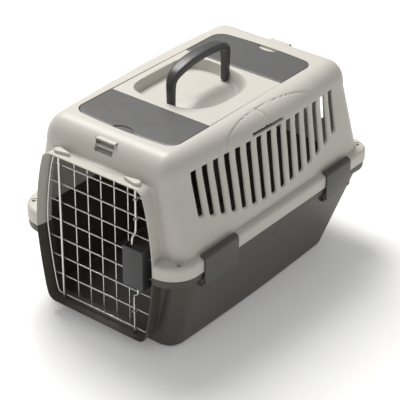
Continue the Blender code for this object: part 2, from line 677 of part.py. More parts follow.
def make_latch():
    """Housing fixed to the door, spring-loaded slider, spring, and the two bolt rods that its slots pull."""
    left, right = LATCH_X
    low, high = LATCH_Z
    plate_back = LATCH_FRONT_Y + 0.0023
    rows = (grid_rows()[2], grid_rows()[3])
    housing = solids("latch_housing", boxes=[
        ((left, LATCH_FRONT_Y, low), (right, plate_back, high))], material=LATCH_GREY)
    housing_wall = solids("housing_wall", boxes=[
        ((left, plate_back - 0.001, low), (left + 0.0025, -0.2262, high))])
    combine(housing, "UNION", housing_wall)
    wire_notches = solids("wire_notches", boxes=[
        ((left - 0.01, -0.2322, z - 0.0018), (right + 0.01, -0.2200, z + 0.0018)) for z in rows])
    combine(housing, "DIFFERENCE", wire_notches)

    slider_left = left + 0.0085
    wall_left = right - 0.0025
    slider = solids("latch_slider", boxes=[
        ((slider_left, SLIDER_Y[0], low + 0.003), (right - 0.001, SLIDER_Y[1], high - 0.0025))],
        material=LATCH_GREY)
    slider_wall = solids("slider_wall", boxes=[
        ((wall_left, SLIDER_Y[0], low + 0.0005), (right, -0.2250, high - 0.0005))])
    combine(slider, "UNION", slider_wall)
    slots = []
    for (x, z), rise in ((UPPER_PEG, -1), (LOWER_PEG, 1)):
        angle = math.degrees(math.atan2(rise * ROD_TRAVEL, SQUEEZE))
        reach = LATCH_ROD + 0.00035
        outline = arc((x, z), reach, angle + 90, angle + 270, 8)
        outline += arc((x + SQUEEZE, z + rise * ROD_TRAVEL), reach, angle - 90, angle + 90, 8)
        slots.append(prism(outline, -0.25, -0.2395))
    combine(slider, "DIFFERENCE", wire_notches, solids("peg_slots", lofts=slots))
    place_origin(slider, ((left + right) / 2, SLIDER_Y[0], (low + high) / 2))

    peg_end = plate_back + 0.0004
    upper = wire("latch_rod_upper", [
        (UPPER_ROD_X, ROD_Y, UPPER_ROD_TIP_Z), (UPPER_ROD_X, ROD_Y, 0.197),
        (UPPER_ROD_X - 0.0005, ROD_Y - 0.0012, 0.193), (UPPER_PEG[0] + 0.0005, TAIL_Y + 0.0012, 0.187),
        (UPPER_PEG[0], TAIL_Y, 0.183), (UPPER_PEG[0], TAIL_Y, UPPER_PEG[1] + 0.0012),
        (UPPER_PEG[0], TAIL_Y - 0.0005, UPPER_PEG[1] + 0.0002), (UPPER_PEG[0], TAIL_Y - 0.0015, UPPER_PEG[1]),
        (UPPER_PEG[0], peg_end, UPPER_PEG[1])], LATCH_ROD, ZINC_WIRE)
    lower = wire("latch_rod_lower", [
        (LOWER_ROD_X, ROD_Y, LOWER_ROD_TIP_Z), (LOWER_ROD_X, ROD_Y, 0.080),
        (LOWER_ROD_X + 0.001, ROD_Y - 0.001, 0.085), (LOWER_PEG[0] - 0.003, TAIL_Y + 0.0015, 0.0905),
        (LOWER_PEG[0] - 0.0005, TAIL_Y, 0.0945), (LOWER_PEG[0], TAIL_Y, 0.099),
        (LOWER_PEG[0], TAIL_Y, LOWER_PEG[1] - 0.0012), (LOWER_PEG[0], TAIL_Y - 0.0005, LOWER_PEG[1] - 0.0002),
        (LOWER_PEG[0], TAIL_Y - 0.0015, LOWER_PEG[1]), (LOWER_PEG[0], peg_end, LOWER_PEG[1])],
        LATCH_ROD, ZINC_WIRE)

    turns, per_turn, coil = 9, 8, 0.0025
    length = wall_left - left - 0.0025 - 2 * 0.0009
    helix = []
    for i in range(turns * per_turn + 1):
        turn = 2 * math.pi * i / per_turn
        helix.append((left + 0.0025 + 0.0009 + length * i / (turns * per_turn),
                      -0.2333 + coil * math.cos(turn), 0.1655 + coil * math.sin(turn)))
    spring = wire("latch_spring", helix, 0.0004, SPRING_STEEL)
    spring.data.bevel_resolution = 1
    for piece in (housing, slider, upper, lower, spring):
        parent_to_hinge(piece)


make_upper_shell()
make_lower_shell()
for lid in (FRONT_LID, REAR_LID):
    make_lid(lid)
make_handle()
for end, low_y, high_y in CLIPS:
    for side_name, side in (("left", -1), ("right", 1)):
        make_clip(f"clip_{end}_{side_name}", side, low_y, high_y)
make_door()
make_latch()
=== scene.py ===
import math

import bmesh
import bpy
import numpy as np
from mathutils import Matrix, Vector


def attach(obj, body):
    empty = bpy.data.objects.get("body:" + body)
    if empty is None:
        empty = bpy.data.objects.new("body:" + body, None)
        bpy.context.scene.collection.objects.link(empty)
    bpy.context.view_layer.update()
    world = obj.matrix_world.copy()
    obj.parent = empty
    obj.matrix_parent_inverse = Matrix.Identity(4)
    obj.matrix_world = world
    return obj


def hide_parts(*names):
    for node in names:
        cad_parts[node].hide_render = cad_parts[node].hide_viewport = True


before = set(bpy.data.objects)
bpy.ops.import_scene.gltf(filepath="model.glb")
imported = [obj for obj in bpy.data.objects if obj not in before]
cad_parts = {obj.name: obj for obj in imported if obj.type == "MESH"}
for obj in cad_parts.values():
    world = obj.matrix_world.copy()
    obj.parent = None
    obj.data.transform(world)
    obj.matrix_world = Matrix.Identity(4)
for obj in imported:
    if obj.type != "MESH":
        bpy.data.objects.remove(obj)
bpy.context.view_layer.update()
scene = bpy.context.scene


# ---------------------------------------------------------------- lower shell
# The tub: one moulding in dark taupe polypropylene. Its walls taper to a flat floor, the rear wall
# leans out, and the lower half of the door collar stands forward of the front wall.
SPLIT = 0.1380
PARTING = 0.00015
RIM_Y = -0.2450


class Socket:
    """A shader socket that takes part in Python sums: each operator adds one Math node."""

    def __init__(self, tree, source=None):
        self.tree, self.source = tree, source

    def make(self, kind, values=None, output=0, stops=None, **settings):
        """Any node: its settings first, then values or links of its sockets by name or number."""
        node = self.tree.nodes.new(kind)
        for setting, value in settings.items():
            setattr(node, setting, value)
        if stops:
            for element, (place, color) in zip(node.color_ramp.elements, stops):
                element.position, element.color = place, (*color, 1)
        for key, value in (values or {}).items():
            if isinstance(value, Socket):
                self.tree.links.new(value.source, node.inputs[key])
            else:
                node.inputs[key].default_value = value
        return Socket(self.tree, node.outputs[output] if len(node.outputs) else None)

    def maths(self, operation, first, second):
        return self.make("ShaderNodeMath", {0: first, 1: second}, operation=operation)

    def __add__(self, other):
        return self.maths("ADD", self, other)

    def __sub__(self, other):
        return self.maths("SUBTRACT", self, other)

    def __rsub__(self, other):
        return self.maths("SUBTRACT", other, self)

    def __mul__(self, other):
        return self.maths("MULTIPLY", self, other)

    def __pow__(self, other):
        return self.maths("POWER", self, other)

    __radd__, __rmul__ = __add__, __mul__


def moulded(name, color, roughness, grain=0.10, mottle=0.05, edge=0.0007, grain_scale=1500.0, metallic=0.0):
    """Spark-eroded moulded plastic: an even colour with faint cloudiness and flow marks, dulled where
    the grain is coarser, a fine pebble grain in the bump, and edges softened by a small radius."""
    material = bpy.data.materials.new(name)
    material.use_nodes = True
    tree = material.node_tree
    shader = tree.nodes["Principled BSDF"]
    at = Socket(tree)
    place = at.make("ShaderNodeTexCoord", output="Object")
    clouds = at.make("ShaderNodeTexNoise", {"Vector": place, "Scale": 9.0, "Detail": 4.0, "Roughness": 0.55})
    flow = at.make("ShaderNodeTexNoise", {"Vector": place, "Scale": 45.0, "Detail": 5.0, "Roughness": 0.6})
    pebbles = at.make("ShaderNodeTexVoronoi", {"Vector": place, "Scale": grain_scale}, feature="SMOOTH_F1")
    dust = at.make("ShaderNodeTexNoise", {"Vector": place, "Scale": 700.0, "Detail": 2.0})
    shade = (clouds - 0.5) * mottle * 1.6 + (flow - 0.5) * mottle + (dust - 0.5) * mottle * 0.7 + 1.0
    dark = tuple(c * 0.80 for c in color)
    light = tuple(min(1.0, c * 1.20) for c in color)
    tone = at.make("ShaderNodeMix", {0: (shade - 0.8) * 2.5, 6: (*dark, 1), 7: (*light, 1)},
                   output=2, data_type="RGBA")
    tree.links.new(tone.source, shader.inputs["Base Color"])
    gloss = (flow - 0.5) * 0.14 + (pebbles - 0.4) * 0.05 + roughness
    tree.links.new(gloss.source, shader.inputs["Roughness"])
    soft = at.make("ShaderNodeBevel", {"Radius": edge}, samples=4)
    relief = at.make("ShaderNodeBump", {"Strength": grain, "Distance": 0.0004, "Height": pebbles + flow * 0.5,
                                        "Normal": soft})
    tree.links.new(relief.source, shader.inputs["Normal"])
    shader.inputs["Metallic"].default_value = metallic
    shader.inputs["IOR"].default_value = 1.46
    return material


def grid_faces(rows, columns, wrap=False, start=0):
    """Quads between neighbouring rows and columns; wrap joins the last column to the first."""
    i, j = np.meshgrid(np.arange(rows - 1), np.arange(columns if wrap else columns - 1), indexing="ij")
    k = (j + 1) % columns
    corners = (i * columns + j, i * columns + k, (i + 1) * columns + k, (i + 1) * columns + j)
    return (start + np.stack(corners, -1).reshape(-1, 4)).tolist()


def finish_mesh(obj, angle=34.0):
    """Smooth faces with an edge kept sharp where two faces meet at more than the angle."""
    mesh = obj.data
    mesh.polygons.foreach_set("use_smooth", np.ones(len(mesh.polygons), bool))
    mesh.set_sharp_from_angle(angle=math.radians(angle))
    mesh.update()


def piece(name, points, faces, material=None, angle=34.0):
    """An object from points and faces; doubles are merged and faces turned outwards."""
    mesh = bpy.data.meshes.new(name)
    mesh.from_pydata(np.asarray(points).reshape(-1, 3).tolist(), [], faces)
    builder = bmesh.new()
    builder.from_mesh(mesh)
    bmesh.ops.remove_doubles(builder, verts=builder.verts, dist=2e-6)
    bmesh.ops.dissolve_degenerate(builder, edges=builder.edges, dist=1e-7)
    bmesh.ops.recalc_face_normals(builder, faces=builder.faces)
    builder.to_mesh(mesh)
    builder.free()
    obj = bpy.data.objects.new(name, mesh)
    scene.collection.objects.link(obj)
    if material:
        mesh.materials.append(material)
    finish_mesh(obj, angle)
    return obj


def carve(base, joins=(), cuts=()):
    """Joins solids to the base, then cuts others out of it, and keeps the result as the base's mesh."""
    for tool, operation in [(t, "UNION") for t in joins] + [(t, "DIFFERENCE") for t in cuts]:
        modifier = base.modifiers.new(tool.name, "BOOLEAN")
        modifier.operation, modifier.solver, modifier.object = operation, "EXACT", tool
    graph = bpy.context.evaluated_depsgraph_get()
    shaped = bpy.data.meshes.new_from_object(base.evaluated_get(graph))
    base.modifiers.clear()
    materials = list(base.data.materials)
    base.data = shaped
    shaped.materials.clear()
    for material in materials:
        shaped.materials.append(material)
    shaped.polygons.foreach_set("material_index", np.zeros(len(shaped.polygons), np.int32))
    for tool in (*joins, *cuts):
        bpy.data.objects.remove(tool, do_unlink=True)
    finish_mesh(base)
    return base


def ring_solid(name, rings, material=None, closed=True):
    """A solid through closed rings of equal point count, capped at both ends."""
    rings = np.asarray(rings)
    rows, columns = rings.shape[:2]
    faces = grid_faces(rows, columns, wrap=True)
    if closed:
        faces += [list(range(columns)), list(range((rows - 1) * columns, rows * columns))]
    return piece(name, rings, faces, material)


def rod(name, start, end, radius, sides=32):
    """A cylinder from start to end: circles of one radius on a straight line."""
    start, end = np.array(start, float), np.array(end, float)
    along = (end - start) / np.linalg.norm(end - start)
    across = np.cross(along, (1, 0, 0) if abs(along[0]) < 0.9 else (0, 1, 0))
    across /= np.linalg.norm(across)
    other = np.cross(along, across)
    turn = np.linspace(0, 2 * np.pi, sides, endpoint=False)[:, None]
    circle = radius * (np.cos(turn) * across + np.sin(turn) * other)
    return ring_solid(name, np.stack([start + circle, end + circle]))


def merged(name, objects, material=None):
    """Several objects as one, keeping each one's faces."""
    builder = bmesh.new()
    for obj in objects:
        builder.from_mesh(obj.data)
        bpy.data.objects.remove(obj, do_unlink=True)
    mesh = bpy.data.meshes.new(name)
    builder.to_mesh(mesh)
    builder.free()
    obj = bpy.data.objects.new(name, mesh)
    scene.collection.objects.link(obj)
    if material:
        mesh.materials.clear()
        mesh.materials.append(material)
        mesh.polygons.foreach_set("material_index", np.zeros(len(mesh.polygons), np.int32))
    finish_mesh(obj)
    return obj


def box(name, low, high, radius=0.001, steps=4):
    """A box with rounded edges: a sphere's points pushed apart by the box's half size less the radius."""
    low, high = np.array(low, float), np.array(high, float)
    quarter = np.linspace(0, np.pi / 2, steps + 1)
    turn = np.concatenate([quarter + k * np.pi / 2 for k in range(4)])
    side = np.repeat([[1, 1], [-1, 1], [-1, -1], [1, -1]], steps + 1, 0)
    rise = np.concatenate([-quarter[::-1], quarter])
    level = np.repeat([-1, 1], steps + 1)
    ball = np.stack(np.broadcast_arrays(
        np.cos(rise)[:, None] * np.cos(turn), np.cos(rise)[:, None] * np.sin(turn), np.sin(rise)[:, None]), -1)
    sign = np.stack(np.broadcast_arrays(side[None, :, 0], side[None, :, 1], level[:, None]), -1)
    points = (low + high) / 2 + sign * ((high - low) / 2 - radius) + radius * ball
    return ring_solid(name, points)


def collar_half(z):
    """Half width of the door collar at a height: widest at the split, narrower towards both ends."""
    rise = np.asarray(z) - SPLIT
    return 0.1124 - np.where(rise > 0, 0.016 * rise + 0.99 * rise**2, -0.0814 * rise + 0.48 * rise**2)


def outward(curve):
    """Unit normals of a curve in the plane, on the right of the way it runs."""
    tangent = np.gradient(curve, axis=0)
    normal = np.stack([tangent[:, 1], -tangent[:, 0]], -1)
    return normal / np.linalg.norm(normal, axis=1)[:, None]


def collar_rows(sides, corner, flats, top):
    """The collar's edge from the split to its middle line, as (x, z): side, corner arc, flat."""
    radius, end, sign = (0.018, 0.2724, 1) if top else (0.016, 0.015, -1)
    centre_z = end - sign * radius
    centre_x = float(collar_half(centre_z)) - radius - 0.001
    start_z = centre_z + sign * (radius * math.sin(math.radians(12)) - 0.012)
    z = SPLIT + (start_z - SPLIT) * sides
    side = np.stack([collar_half(z), z], -1)
    turn = np.radians(12 + 78 * corner)
    arc = np.stack([centre_x + radius * np.cos(turn), centre_z + sign * radius * np.sin(turn)], -1)
    flat = np.stack([centre_x * (1 - flats), np.full_like(flats, end)], -1)
    return np.concatenate([side, arc, flat])


def collar_outline(steps):
    """The collar's right half from the bottom's middle up to the top's middle, with its normals."""
    share, flats = np.linspace(0, 1, steps), np.linspace(0, 1, 9)[1:]
    lower = collar_rows(share, share, flats, False)[::-1]
    right = np.concatenate([lower, collar_rows(share, share, flats, True)[1:]])
    return right, outward(right)


def doorway(name):
    """The way in through the collar: its outline drawn in, flared from the neck out to the rim."""
    right, normal = collar_outline(24)
    rings = []
    for y, inset in ((-0.256, 0.0016), (-0.2447, 0.0017), (-0.2405, 0.0030), (-0.234, 0.0041),
                     (-0.2225, 0.0058), (-0.190, 0.0060)):
        edge = right - normal * inset
        edge[[0, -1], 0] = 0.0
        full = np.concatenate([edge, (edge * (-1, 1))[::-1][1:-1]])
        rings.append(np.insert(full, 1, y, axis=1))
    return ring_solid(name, rings)


def tunnel(name, core, reach_front, reach_rear, collar, side, ends, pole_z, rear_plane, material):
    """A shell's outside as one grid. Rows run from the split over to the middle line; columns start at
    the door rim, follow the collar back, turn out over the front wall and round its corner along a
    superellipse (core + sin(phi)**e * reach), run along the side and close on the middle of the rear wall.
    The grid is relaxed where collar and wall meet, which gives the fillet there, then mirrored."""
    front_y, front_depth, rear_y, rear_depth = ends
    rows = len(core)
    normal = outward(collar)
    normal[-1] = (0, 1)
    y = np.concatenate([[RIM_Y, RIM_Y + 0.0004, RIM_Y + 0.0011], np.linspace(RIM_Y + 0.003, front_y, 9)])
    inset = np.interp(y, [RIM_Y, RIM_Y + 0.0004, RIM_Y + 0.0011, front_y], [0.0011, 0.0004, 0.0001, 0.0028])
    neck = collar[:, None] - normal[:, None] * inset[None, :, None]
    phi = np.linspace(0, np.pi / 2, 30)
    out, back = np.sin(phi) ** (2 / 2.4), 1 - np.cos(phi) ** (2 / 2.4)
    corner = core[:, None] + out[None, :, None] * reach_front[:, None]
    corner = np.maximum(corner, neck[:, -1:])
    plan = np.concatenate([neck, corner], 1)
    depth = np.broadcast_to(np.concatenate([y, front_y + front_depth * back]), plan.shape[:2])
    path = np.stack([plan[..., 0], depth, plan[..., 1]], -1)
    step = np.linalg.norm(np.diff(path, axis=1), axis=2)
    length = np.concatenate([np.zeros((rows, 1)), np.cumsum(step, 1)], 1)
    bend = length[:, len(y) - 1]
    share = np.concatenate([np.array([0, 0.004, 0.011]), np.linspace(0.03, 1, 46)])
    want = length[:, -1:] * share
    low = np.clip((want[:, :, None] >= length[:, None, :]).sum(-1) - 1, 0, length.shape[1] - 2)
    run = np.take_along_axis(length, low + 1, 1) - np.take_along_axis(length, low, 1)
    mix = ((want - np.take_along_axis(length, low, 1)) / np.maximum(run, 1e-9))[..., None]
    front = (np.take_along_axis(path, low[..., None], 1) * (1 - mix)
             + np.take_along_axis(path, low[..., None] + 1, 1) * mix)
    pull = 0.5 * np.exp(-(((want - bend[:, None]) / 0.0095) ** 2))[:, 1:-1, None]
    for _ in range(16):
        front[:, 1:-1] += pull * (front[:, :-2] + front[:, 2:] - 2 * front[:, 1:-1])

    phi = np.linspace(np.pi / 2, 0, 18)[1:]
    out = np.sin(phi) ** (2 / 2.4)
    bent = core[:, None] + out[None, :, None] * reach_rear[:, None]
    bent_y = rear_y[:, None] + rear_depth * np.cos(phi)[None] ** (2 / 2.4)
    rear_corner = np.stack([bent[..., 0], bent_y, bent[..., 1]], -1)
    fan = np.linspace(0, 1, 16)[1:]
    wall_x = core[:, :1] * (1 - fan)
    wall_z = core[:, 1:] + (pole_z - core[:, 1:]) * fan
    rear_wall = np.stack([wall_x, rear_plane(wall_z), wall_z], -1)
    half = np.concatenate([front[:, :-1], side, rear_corner, rear_wall], 1)
    half[-1, :, 0] = 0.0
    whole = np.concatenate([half, (half * (-1, 1, 1))[::-1][1:]])
    if pole_z < 0:
        whole = whole * (1, 1, -1)
    count, columns = whole.shape[:2]
    faces = grid_faces(count, columns)
    last = (count - 1) * columns
    faces.append(list(range(columns)) + list(range(last + columns - 1, last - 1, -1)))
    faces.append(list(range(0, count * columns, columns)))
    return piece(name, whole, faces, material)


LOWER = moulded("lower_plastic", (0.074, 0.063, 0.053), 0.42, mottle=0.07)

fall = np.linspace(0, 1, 22)
curl = np.linspace(0, 1, 9)[1:]
across = np.linspace(0, 1, 12)[1:]
wall_z = SPLIT + (0.006 - SPLIT) * fall
wall_z[0] = SPLIT - PARTING
LOWER_FLARE = 0.0265 / 0.124
REAR_FLARE = 0.056 / 0.124
floor_half = 0.124 + LOWER_FLARE * 0.006 - 0.030
core_side = np.stack([0.124 + LOWER_FLARE * wall_z - 0.030, -wall_z], -1)
core_curl = np.tile([floor_half, -0.006], (len(curl), 1))
core_floor = np.stack([floor_half * (1 - across), np.full_like(across, -0.006)], -1)
lower_core = np.concatenate([core_side, core_curl, core_floor])
turn = curl * np.pi / 2
lower_reach = np.concatenate([
    np.tile([0.030, 0.0], (len(fall), 1)),
    np.stack([0.030 * np.cos(turn) ** 0.9, 0.006 * np.sin(turn) ** 0.9], -1),
    np.tile([0.0, 0.006], (len(across), 1))])
lower_collar = collar_rows(fall, curl, across, False) * (1, -1)
lean = REAR_FLARE * (-lower_core[:, 1] - 0.006)
rear_start = 0.1447 + lean
run = np.linspace(0, 1, 46)
side_y = -0.188 + (rear_start[:, None] + 0.188) * run
bow = 0.003 * np.sin(np.pi * run)[None] * (lower_reach[:, :1] / 0.030)
side = np.stack([(lower_core + lower_reach)[:, :1] + bow, side_y,
                 np.broadcast_to((lower_core + lower_reach)[:, 1:], side_y.shape)], -1)
lower_shell = tunnel("lower_shell_body", lower_core, lower_reach, lower_reach, lower_collar, side,
                     (-0.218, 0.030, rear_start, 0.034), -(SPLIT - PARTING),
                     lambda z: 0.1787 + REAR_FLARE * (-z - 0.006), LOWER)


def plan_ring(half, front, rear, front_radius, rear_radius, z, bow=0.003, power=2.0, sides=40):
    """A rounded rectangle in plan at one height: quarter superellipses joined by straight or bowed runs."""
    quarter = np.linspace(0, np.pi / 2, 15)
    e = 2 / power
    sin, cos = np.sin(quarter) ** e, np.cos(quarter) ** e
    first = np.stack([half - front_radius * (1 - sin), front + front_radius * (1 - cos)], -1)
    second = np.stack([half - rear_radius * (1 - cos), rear - rear_radius * (1 - sin)], -1)
    run = np.linspace(0, 1, sides)[1:-1]
    low, high = first[-1, 1], second[0, 1]
    middle = np.stack([half + bow * np.sin(np.pi * run), low + (high - low) * run], -1)
    right = np.concatenate([first, middle, second])
    ring = np.concatenate([right, (right * (-1, 1))[::-1]])
    return np.insert(ring, 2, z, axis=1)


inside = []
for z in (0.0030, 0.0036, 0.0055, 0.020, 0.060, 0.100, SPLIT + 0.01):
    tuck = {0.0030: 0.005, 0.0036: 0.0025}.get(z, 0.0)
    half, rear = 0.124 + LOWER_FLARE * z, 0.176 + REAR_FLARE * z
    inside.append(plan_ring(half - 0.0026 - tuck, -0.2154 + tuck, rear - 0.0026 - tuck, 0.0274, 0.038, z))
nubs = merged("nubs", [rod("nub", (x, -0.2333, 0.0098), (x, -0.2333, 0.0215), 0.0046)
                       for x in (-0.0725, 0.067)])
sockets = merged("sockets", [rod("socket", (x, -0.2333, 0.0112), (x, -0.2333, 0.030), 0.0024)
                             for x in (-0.0725, 0.067)])
carve(lower_shell, joins=[nubs], cuts=[ring_solid("lower_inside", inside), doorway("lower_way"), sockets])
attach(lower_shell, "shells")
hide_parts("lower_shell")


# ---------------------------------------------------------------- flange and clip ears
# The lower shell's flange: the tub's lip turned out all round to meet the upper band, with a lug at
# each corner. Pairs of small ears under it carry the clips' pivots. Moulded in one with the tub.
def rim_band(name, outer, inner, profile, end_x, material):
    """A profile carried round the shell from one side of the collar to the other. Each profile point
    gives how far in from the outer path it lies, as a length or as a share of the way in, and its height."""
    shapes = []
    for part in (outer, inner):
        half, front, rear, front_radius, rear_radius = part
        quarter = np.linspace(0, np.pi / 2, 25)
        power = 2.0 if part is outer else 2.4
        sin, cos = np.sin(quarter) ** (2 / power), np.cos(quarter) ** (2 / power)
        start = np.array([[end_x, front]])
        first = np.stack([half - front_radius * (1 - sin), front + front_radius * (1 - cos)], -1)
        first[:, 0] = np.maximum(first[:, 0], end_x + 0.0004 * np.arange(25) / 24)
        second = np.stack([half - rear_radius * (1 - cos), rear - rear_radius * (1 - sin)], -1)
        middle_y = np.linspace(-0.197, 0.205, 40)
        middle = np.stack([np.full(40, half), np.clip(middle_y, first[-1, 1], second[0, 1])], -1)
        back = np.stack([np.linspace(second[-1, 0], 0, 12)[1:], np.full(11, rear)], -1)
        right = np.concatenate([start, first, middle, second, back])
        shapes.append(np.concatenate([right, (right * (-1, 1))[::-1][1:]]))
    out, inward = shapes
    direction = inward - out
    length = np.linalg.norm(direction, axis=1)[:, None]
    columns = []
    for distance, share, z in profile:
        spot = out + direction / length * distance + direction * share
        columns.append(np.insert(spot, 2, z, axis=1))
    rings = np.stack(columns, 1)
    return ring_solid(name, rings, material)


edge = np.linspace(0, np.pi / 2, 7)
lip = [(0.0, 0.0, SPLIT - PARTING), (0.0, 0.0, 0.1290)]
lip += [(0.0042 * (1 - math.cos(a)), 0.0, 0.1288 - 0.0048 * math.sin(a)) for a in edge[1:]]
lip += [(0.0, 1.0, 0.1215), (0.0, 1.0, SPLIT - PARTING)]
flange = rim_band("lower_flange", (0.155, -0.2443, 0.244, 0.045, 0.026),
                  (0.1520 - 0.0015, -0.2165, 0.2340, 0.030, 0.034), lip, 0.1105, LOWER)
holes = merged("flange_holes", [rod("hole", (x, y, 0.11), (x, y, 0.15), 0.0032)
                                for x in (-0.1395, 0.1395) for y in (-0.221, 0.230)])
carve(flange, cuts=[holes])
CLIPS = {"front": (-0.186, -0.108), "rear": (0.116, 0.181)}
ears = []
for low_y, high_y in CLIPS.values():
    for sign in (-1, 1):
        for y in (low_y - 0.0032, high_y + 0.0005):
            near, far = sorted((sign * 0.147, sign * 0.1576))
            ears.append(box("ear", (near, y, 0.1132), (far, y + 0.0027, 0.1262), 0.0008))
clip_ears = merged("clip_ears", ears, LOWER)
for part in (flange, clip_ears):
    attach(part, "shells")


# ---------------------------------------------------------------- upper shell
# The roof: one moulding in light warm grey polypropylene with rolled shoulders that swell out towards
# the middle. Fifteen slits stand between rounded slats in each side, under a crisp ledge.
UPPER = moulded("upper_plastic", (0.600, 0.572, 0.520), 0.42, grain=0.09, mottle=0.035)
ROLL_Z, DECK_Z = 0.2680, 0.3113
SLIT_TOP, LEDGE_Z = 0.2795, 0.2813
SLIT_FIRST, SLIT_PITCH, SLITS = -0.1645, 0.0232, 15
E = 2.4


def swell(y):
    """How far the shoulder stands out from the straight wall along the length."""
    return np.interp(y, [-0.187, -0.172, -0.150, -0.110, -0.055, 0.0, 0.045, 0.100, 0.158, 0.183],
                     [-0.0105, -0.0088, -0.0072, -0.0045, 0.0005, 0.0035, 0.0045, 0.0030, -0.0010, -0.0040])


def section_at(z):
    """Core and reach of the wall at a height: a leaning plane below the roll, a superellipse above."""
    up = np.clip((z - ROLL_Z) / (DECK_Z - ROLL_Z), 0, 1)
    lean = 0.148 * np.maximum(0, ROLL_Z - z)
    core_x, core_z = 0.095 + lean, np.minimum(z, ROLL_Z)
    return core_x, core_z, 0.036 * (1 - up**E) ** (1 / E), (DECK_Z - ROLL_Z) * up


def slit_foot(y):
    """The slits end along an arc: highest at both ends of the row."""
    share = np.clip((y - SLIT_FIRST) / (SLIT_PITCH * (SLITS - 1)) * 2 - 1, -1, 1)
    return 0.178 + 0.033 * share**2


offsets = np.array([0, 0.0030, 0.0050, 0.0056, 0.0061, 0.0067, 0.0076, 0.0088, 0.0100])
cell = np.concatenate([-offsets[:0:-1], offsets, [0.0116]])
slit_y = (SLIT_FIRST + SLIT_PITCH * np.arange(SLITS)[:, None] + cell).ravel()
along_y = np.concatenate([[-0.187, -0.1855, -0.184, -0.1825, -0.1808, -0.179, -0.1765], slit_y,
                          [0.1735, 0.176, 0.1785, 0.1808, 0.183]])
foot = slit_foot(along_y)[None]
ones = np.ones_like(foot)
levels = [SPLIT + f * (foot - 0.006 - SPLIT) for f in (0, 0.15, 0.35, 0.55, 0.78, 1.0)]
levels += [foot + d for d in (-0.004, -0.0025, -0.0012, 0.0, 0.0008, 0.0018, 0.003, 0.0048, 0.0075)]
levels += [foot + 0.0075 + f * (SLIT_TOP - 0.014 - foot) for f in (0.15, 0.3, 0.45, 0.6, 0.75, 0.9, 1.0)]
levels += [(SLIT_TOP + d) * ones for d in (-0.0045, -0.003, -0.0018, -0.0009, -0.0003, 0.0002, 0.0007)]
levels += [(LEDGE_Z + d) * ones for d in (-0.0004, 0.0001, 0.0005, 0.0013)]
levels = np.concatenate(levels)
levels[0] = SPLIT + PARTING
top_levels = np.linspace(math.asin(((LEDGE_Z + 0.0013 - ROLL_Z) / (DECK_Z - ROLL_Z)) ** (E / 2)), np.pi / 2, 24)[1:]
top_levels = ROLL_Z + (DECK_Z - ROLL_Z) * np.sin(top_levels) ** (2 / E)
levels = np.concatenate([levels, top_levels[:, None] * ones])
decks = np.linspace(0, 1, 9)[1:]

core_x, core_z, reach_x, reach_z = section_at(levels)
height_share = np.clip((levels - 0.160) / 0.12, 0, 1)
out_share = (reach_x / 0.036) ** 0.6
bulge = swell(along_y)[None] * height_share * out_share
x = core_x + reach_x + bulge
z = core_z + reach_z
y = np.broadcast_to(along_y, x.shape).copy()

# the slatted panel sits a little behind the shoulder, most of all under the ledge
into = np.interp(along_y, [-0.183, -0.1765, 0.1735, 0.183], [0, 1, 1, 0])
into = (into * into * (3 - 2 * into))[None]
sunk = np.interp(levels, [0.185, SLIT_TOP], [0, 1]) ** 1.5 * 0.0017 * (levels < LEDGE_Z)
x = x - sunk * into

# each slit: a rounded outline, a lip that rolls in over 3 mm, then a deep cut through the wall
nearest = SLIT_FIRST + SLIT_PITCH * np.clip(np.round((along_y - SLIT_FIRST) / SLIT_PITCH), 0, SLITS - 1)
aside = (np.abs(along_y - nearest) - 0.0060)[None] * np.ones_like(levels)
below, above = foot - levels, levels - SLIT_TOP
radius = np.where(levels < 0.24, 0.0046, 0.0012)
beyond = np.maximum(below, above)
a, b = aside + radius, beyond + radius
distance = np.hypot(np.maximum(a, 0), np.maximum(b, 0)) + np.minimum(np.maximum(a, b), 0) - radius
lip_share = np.clip(1 - distance / 0.0036, 0, 1)
lip_depth = 0.0019 * (1 - np.sqrt(1 - np.minimum(lip_share, 1) ** 2 * 0.999))
lip_depth = np.where(above > 0.0001, lip_depth * 0.35, lip_depth)
cut_depth = np.interp(-distance, [0, 0.0007], [0.0, 0.0075])
x = x - (np.where(distance < 0, 0.0019, lip_depth) + cut_depth)

# the belt guide: shallow grooves round two pads, and a valley between them down to the slot
arc_y = np.array([-0.118, -0.106, -0.079, -0.047, -0.020, -0.005, 0.010, 0.033, 0.056, 0.079, 0.100, 0.115])
arc_x = np.array([0.1300, 0.1275, 0.1195, 0.1125, 0.1100, 0.1098, 0.1100, 0.1115, 0.1150, 0.1200, 0.1260, 0.1300])
line = np.interp(along_y, arc_y, arc_x, left=0.2, right=0.2)[None]
strength = np.interp(along_y, [-0.118, -0.085, 0.075, 0.115], [0, 1, 1, 0])[None]
gap_to_line = (x - line) * np.where(levels > LEDGE_Z, 1, 9)
groove = 0.0019 * np.exp(-(np.minimum(gap_to_line / 0.0013, 0) ** 2) - (np.maximum(gap_to_line / 0.0007, 0) ** 2))
pad = 0.0007 * np.clip(gap_to_line / 0.002, 0, 1)
down = np.clip((x - line) / 0.019, 0, 1)
valley_half = 0.0042 - 0.0030 * down
valley = 0.0022 * np.clip(1.25 - np.abs(along_y[None] + 0.0065 - 0.0065 * down) / valley_half, 0, 1)
valley = valley * (x > line - 0.0015)
press = (np.maximum(groove, valley) + pad) * strength * (levels > LEDGE_Z)
size = np.hypot(reach_x, reach_z)
x = x - press * reach_x / size
z = z - press * reach_z / size

